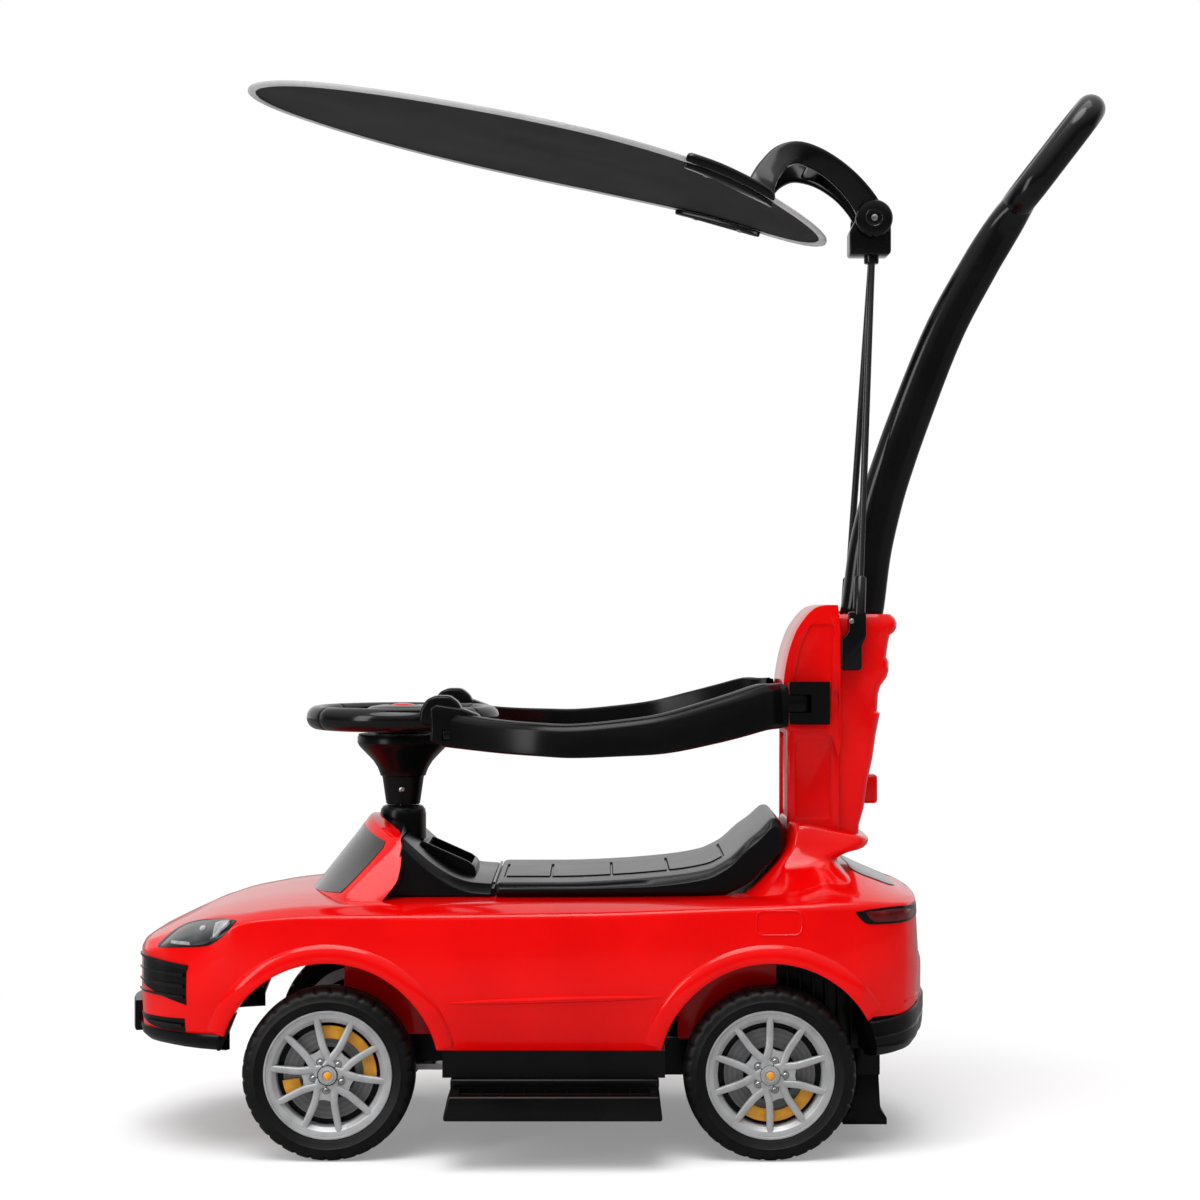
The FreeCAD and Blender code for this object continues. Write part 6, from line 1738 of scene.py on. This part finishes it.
def yoke_arm():
    """The left arm, its width and thickness read by the order of its stations."""
    path = smooth_path([row[:3] for row in YOKE_ROWS], YOKE_STEPS)
    sizes = [(index, *row[3:]) for index, row in enumerate(YOKE_ROWS)]
    rings = []
    for index, (spot, heading) in enumerate(headings(path)):
        across = Vector((-heading.z, 0, heading.x)).normalized()
        thick = heading.normalized().cross(across).normalized()
        wide, deep = (size / 2 for size in row_values(sizes, index / YOKE_STEPS))
        rings.append([spot + across * (wide * squared(a, YOKE_SQUARE)) + thick * (deep * squared(b, YOKE_SQUARE))
                      for a, b in ring_points(1, YOKE_SIDES)])
    return loft("arm", rings, BLACK_GLOSS)


lug = disc_solid("lug", LUG_RADIUS_OUT, *LUG_SIDES, BLACK_GLOSS, HINGE_SPOT, "y", SMALL_EDGE)
web_line = [(WEB_PLACE[0] + WEB_RADII[0] * across, WEB_PLACE[1] + WEB_RADII[1] * up)
            for across, up in ring_points(1, SMALL_ROUND)]
web = prism("web", web_line, -WEB_HALF, WEB_HALF, BLACK_GLOSS)
yoke = joined("yoke_look", both_sides(joined("half", yoke_arm(), lug), "arms"), web)
put(yoke, "canopy", "black_gloss", "canopy_yoke")
knob = lathe("knob", KNOB_LINE, BLACK_GLOSS, HINGE_SPOT, "y")
put_both(knob, "knob_pair", "canopy", "black_gloss", "canopy_knobs")
knob_screw = lathe("screw", KNOB_SCREW_LINE, STEEL, HINGE_SPOT, "y", KNOB_ROUND, False)
put_both(knob_screw, "knob_screws", CAR, "steel", "canopy_pivot_bolt")

# Hinge block, rods and sockets
HINGE_CORNERS = [(240.6, 912), (240.6, 936), (247, 949), (257, 957), (271, 958), (279, 951), (283.6, 943),
                 (283.6, 912)]
HINGE_SIDES = (-18, 18)
HINGE_ROUND_SHARE = 0.3
COLLAR_LINE = [(0, 912), (7.8, 912), (7.8, 906), (7.2, 904.2), (0, 904.2)]
ROD_FEET = (245.4, -70, 545)
ROD_HEAD = (264.7, -3.1, 904)
ROD_RADIUS = 3.6
ROD_EDGE = 1.4
hinge = slab("hinge", HINGE_CORNERS, HINGE_ROUND_SHARE, HINGE_SIDES, BLACK_GLOSS, ROD_EDGE, 3, EASY_EDGE)
collar = lathe("collar", COLLAR_LINE, BLACK_GLOSS, (HINGE_SPOT[0], 0, 0), closed=False)
put(joined("hinge_look", hinge, collar), CAR, "black_gloss", "canopy_hinge_block")
rod = tube("rod", [ROD_FEET, ROD_HEAD], ROD_RADIUS, BLACK_METAL, SMALL_ROUND)
put_both(rod, "rod_pair", CAR, "black_metal", "canopy_rods")
# A screwed plate on the sleeve, a shoulder, and the tube that grips the rod
PLATE_CORNERS = [(226.4, 479.5), (226.4, 512), (231, 515), (234, 520), (234, 540), (252, 540), (252, 514),
                 (247.5, 505), (247.5, 479.5)]
PLATE_SIDES = (-76, -62.2)
PLATE_ROUND_SHARE = 0.4
# The grip's stations in shares of its length, which is a share of the rod's, and its radii there
GRIP_LINE_SHARE = 0.1
GRIP_STATION_SHARES = (-0.25, 0.8, 0.85)
GRIP_RADIUS = 6.4
GRIP_STATION_RADII = (GRIP_RADIUS, GRIP_RADIUS, ROD_RADIUS + ROD_EDGE)
SOCKET_SCREW = (237, -76, 530)
SOCKET_SCREW_LINE = [(0, -1.8), (1.2, -1.6), (2.6, -1.0), (2.9, 0), (2.9, 2), (0, 2)]
plate = slab("plate", PLATE_CORNERS, PLATE_ROUND_SHARE, PLATE_SIDES, BLACK_GLOSS, ROD_EDGE, 3, SOFT_EDGE)
rod_start = Vector(ROD_FEET)
rod_way = Vector(ROD_HEAD) - rod_start
grip_line = [rod_start + rod_way * GRIP_LINE_SHARE * share for share in GRIP_STATION_SHARES]
grip = tube("grip", grip_line, GRIP_STATION_RADII, BLACK_GLOSS, KNOB_ROUND)
put_both(joined("socket", plate, grip), "socket_pair", CAR, "black_gloss", "canopy_sockets")
socket_screw = lathe("screw", SOCKET_SCREW_LINE, STEEL, SOCKET_SCREW, "y", TINY_ROUND, False)
put_both(socket_screw, "socket_screws", CAR, "steel")

# Under the car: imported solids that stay, in their finishes
KEPT_SOLIDS = {
    "chassis_pan": (BLACK, PART_EDGE), "storage_bin": (BLACK, SMALL_EDGE),
    "footrest_guides": (BLACK, THIN_EDGE), "knuckle_left": (BLACK, THIN_EDGE), "knuckle_right": (BLACK, THIN_EDGE),
    "seat_hinge_pin": (BLACK_METAL, 0), "rear_axle": (STEEL, 0), "axle_push_nuts": (STEEL, 0),
    "steering_shaft": (STEEL, 0), "tie_rod": (STEEL, 0),
}
for name, (material, edge) in KEPT_SOLIDS.items():
    dressed(name, material, edge)

# Ribbed inner plates behind the rear wheels
INNER_PLATE = ((157, -116, 100), (247, -112, 214))
RIB_PLACES = (166, 179, 192, 205, 218, 231, 242)
RIB_WIDTH = 3.0
RIB_REACH = 7.0


def inner_plate():
    """The left plate with its upright ribs."""
    low, high = INNER_PLATE
    pieces = [block("plate", low, high, BLACK, SMALL_EDGE)]
    for x in RIB_PLACES:
        corners = ((x, low[1] - RIB_REACH, low[2]), (x + RIB_WIDTH, *high[1:]))
        pieces.append(block("rib", *corners, BLACK, THIN_EDGE))
    return joined("inner_plate", *pieces)


put_both(inner_plate(), "rear_inner_plates", CAR, "black_plastic")

# Anti-tip foot: a leaning plate with a flared base, and the skirt it hangs from
FOOT_CORNERS = [(236, 74), (262, 74), (264, 36), (270.6, 27), (270.6, 20.4), (226, 20.4), (226, 26), (234, 36)]
FOOT_ROUND_SHARES = (0, 0, 0.6, 0.3, 0.2, 0.2, 0.4, 0.5)
FOOT_SIDES = (-99, 99)
SKIRT_CORNERS = [(238, 72), (262.6, 72), (262.6, 98), (248, 142), (238, 142)]
SKIRT_SIDES = (-108, 108)
foot = slab("foot", FOOT_CORNERS, FOOT_ROUND_SHARES, FOOT_SIDES, BLACK, SMALL_EDGE)
put(foot, CAR, "black_plastic", "anti_tip_foot")
skirt = prism("rear_skirt", SKIRT_CORNERS, *SKIRT_SIDES, BLACK)
put(bevelled(skirt, SMALL_EDGE), CAR, "black_plastic")

# Footrests: a hollow-looking step with tapered ends, a pocketed tread, a ledge and two rails
STEP_CORNERS = [(-171, 50), (40, 50), (40, 54), (37.6, 74), (-166.6, 74), (-171, 54)]
STEP_SIDES = (-240, -165)
STEP_EDGE = 2.2
TREAD_LOW = (-157, -234, 67.5)
TREAD_HIGH = (29, -194, 80)
TREAD_CELLS = 9
RIB_THICKNESS = 2.6
TREAD_RIB_TOP = 72.6
LEDGE_LOW = (-167, -187, 72)
LEDGE_HIGH = (38, -165, 81.6)
RAIL_ENDS = ((-147, -125), (-6, 16))
RAIL_LOW = 61
RAIL_HIGH = 71
RAIL_REACH = -80


def step_look():
    """The left footrest: its step with a pocketed tread, the ledge and both rails."""
    step = bevelled(prism("step", STEP_CORNERS, *STEP_SIDES, BLACK), STEP_EDGE, 3)
    carved(step, block("pocket", TREAD_LOW, TREAD_HIGH, BLACK))
    pieces = [step, block("ledge", LEDGE_LOW, LEDGE_HIGH, BLACK, STEP_EDGE, 3)]
    middle = (TREAD_LOW[1] + TREAD_HIGH[1]) / 2
    spans = [((TREAD_LOW[0], middle), (TREAD_HIGH[0], middle + RIB_THICKNESS))]
    for cell in range(1, TREAD_CELLS):
        x = TREAD_LOW[0] + (TREAD_HIGH[0] - TREAD_LOW[0]) * cell / TREAD_CELLS
        spans.append(((x, TREAD_LOW[1]), (x + RIB_THICKNESS, TREAD_HIGH[1])))
    for low, high in spans:
        pieces.append(block("rib", (*low, TREAD_LOW[2] - RIB_THICKNESS), (*high, TREAD_RIB_TOP), BLACK, THIN_EDGE))
    for low, high in RAIL_ENDS:
        pieces.append(block("rail", (low, STEP_SIDES[1], RAIL_LOW), (high, RAIL_REACH, RAIL_HIGH), BLACK, THIN_EDGE))
    return joined("step_look_left", *pieces)


side_pair(step_look(), "step_look_left", "step_look_right", ("footrest_left", "footrest_right"), "black_plastic",
          ("footrest_left", "footrest_right"))

# Stage: pale floor, white surroundings, soft light and the camera

FLOOR_HALF = 9000
FLOOR_WHITE = 0.95
FLOOR_ROUGHNESS = 0.9
# How much of the floor shows as plain white: under the object and away from it, and where it changes
FLOOR_GLOW = (0.25, 1.0)
GLOW_REACH = (0.5, 1.05)
GLOW_STRETCH = (0.62, 1.0, 1.0)
FLOOR_MIRROR_SHARE = 0.75


def floor_material():
    """Pale floor: white to the camera away from the object, with its shadow under it, and dimmer in reflections."""
    white_tone = (FLOOR_WHITE, FLOOR_WHITE, FLOOR_WHITE, 1)
    material, shader, where = blank("stage_floor", Base_Color=white_tone, Roughness=FLOOR_ROUGHNESS,
                                    Specular_IOR_Level=0.0)
    stretch = add(material, "ShaderNodeMapping", {"Vector": where}, Scale=GLOW_STRETCH)
    reach = add(material, "ShaderNodeVectorMath", {0: stretch}, operation="LENGTH")
    fade = add(material, "ShaderNodeMapRange", {"Value": (reach, "Value")}, interpolation_type="SMOOTHSTEP",
               From_Min=GLOW_REACH[0], From_Max=GLOW_REACH[1], To_Min=FLOOR_GLOW[0], To_Max=FLOOR_GLOW[1])
    rays = add(material, "ShaderNodeLightPath")
    amount = add(material, "ShaderNodeMath", {0: (rays, "Is Camera Ray"), 1: fade}, operation="MULTIPLY")
    glow = add(material, "ShaderNodeEmission", Strength=1.0)
    white = add(material, "ShaderNodeMixShader", {0: amount, 1: shader, 2: glow})
    dim = add(material, "ShaderNodeMath", {0: (rays, "Is Glossy Ray")}, operation="MULTIPLY")
    dim.inputs[1].default_value = FLOOR_MIRROR_SHARE
    dark = add(material, "ShaderNodeEmission", Strength=0.0)
    seen = add(material, "ShaderNodeMixShader", {0: dim, 1: white, 2: dark})
    link(material, seen, material.node_tree.nodes["Material Output"], "Surface")
    return material


floor_corners = [(-FLOOR_HALF, -FLOOR_HALF, 0), (FLOOR_HALF, -FLOOR_HALF, 0), (FLOOR_HALF, FLOOR_HALF, 0),
                 (-FLOOR_HALF, FLOOR_HALF, 0)]
floor = build("floor", floor_corners, [(0, 1, 2, 3)], floor_material())

# World: white behind the object and in glass, a soft sky in reflections, even light from all round
SKY_LIGHT = 0.45
HORIZON = 0.08
ZENITH = 1.0
SKY_REACH = (0.15, 0.95)
# A white backdrop behind the object, as reflections see it: strength, and where it begins and is full
BACKDROP = 0.75
BACKDROP_REACH = (0.1, 0.7)
world = bpy.data.worlds.new("studio")
bpy.context.scene.world = world
world.use_nodes = True
sky = world.node_tree.nodes["Background"]
sky.inputs["Color"].default_value = (1, 1, 1, 1)
split = add(world, "ShaderNodeSeparateXYZ", {"Vector": (add(world, "ShaderNodeTexCoord"), "Generated")})
height = add(world, "ShaderNodeMapRange", {"Value": (split, "Z")}, From_Min=SKY_REACH[0], From_Max=SKY_REACH[1],
             To_Min=HORIZON, To_Max=ZENITH)
backdrop = add(world, "ShaderNodeMapRange", {"Value": (split, "Y")}, From_Min=BACKDROP_REACH[0],
               From_Max=BACKDROP_REACH[1], To_Max=BACKDROP)
brighter = add(world, "ShaderNodeMath", {0: height, 1: backdrop}, operation="MAXIMUM")
rays = add(world, "ShaderNodeLightPath")
mirror = add(world, "ShaderNodeMix", {"Factor": (rays, "Is Glossy Ray"), "B": brighter}, data_type="FLOAT",
             A=SKY_LIGHT)
seen = add(world, "ShaderNodeMath", {0: (rays, "Is Camera Ray"), 1: (rays, "Is Transmission Ray")},
           operation="MAXIMUM")
strength = add(world, "ShaderNodeMix", {"Factor": seen, "A": mirror}, data_type="FLOAT", B=1.0)
link(world, strength, sky, "Strength")

# Lamps: a wide soft sun from above and two panels for long highlights
SUN_TURN = (math.radians(24), math.radians(-8), 0)
SUN_WIDTH = math.radians(40)
SUN_STRENGTH = 1.8
sun = bpy.data.lights.new("sun", "SUN")
sun.energy = SUN_STRENGTH
sun.angle = SUN_WIDTH
shown("sun", sun).rotation_euler = SUN_TURN
# Each panel's place and size in metres and its power
PANELS = {"front_panel": ((-2.2, -1.9, 1.3), (0.9, 2.2), 28), "top_panel": ((0.2, -0.3, 3.0), (2.4, 1.4), 22)}
PANEL_AIM = Vector((0, 0, 0.4))
for name, (place, size, power) in PANELS.items():
    panel = bpy.data.lights.new(name, "AREA")
    panel.shape = "RECTANGLE"
    panel.size, panel.size_y = size
    panel.energy = power
    holder = shown(name, panel)
    holder.location = place
    holder.rotation_euler = (PANEL_AIM - Vector(place)).to_track_quat("-Z", "Y").to_euler()

# Camera: level, at the place and with the lens that the photograph was taken from
CAMERA_PLACE = (-20, -2850, 551.6)
CAMERA_LENS = 81.48
CAMERA_SENSOR = 36
camera = bpy.data.cameras.new("camera")
camera.lens = CAMERA_LENS
camera.sensor_width = CAMERA_SENSOR
viewer = shown("camera", camera)
viewer.location = Vector(CAMERA_PLACE) * MM
viewer.rotation_euler = (math.pi / 2, 0, 0)
bpy.context.scene.camera = viewer
bpy.context.scene.view_settings.view_transform = "Standard"
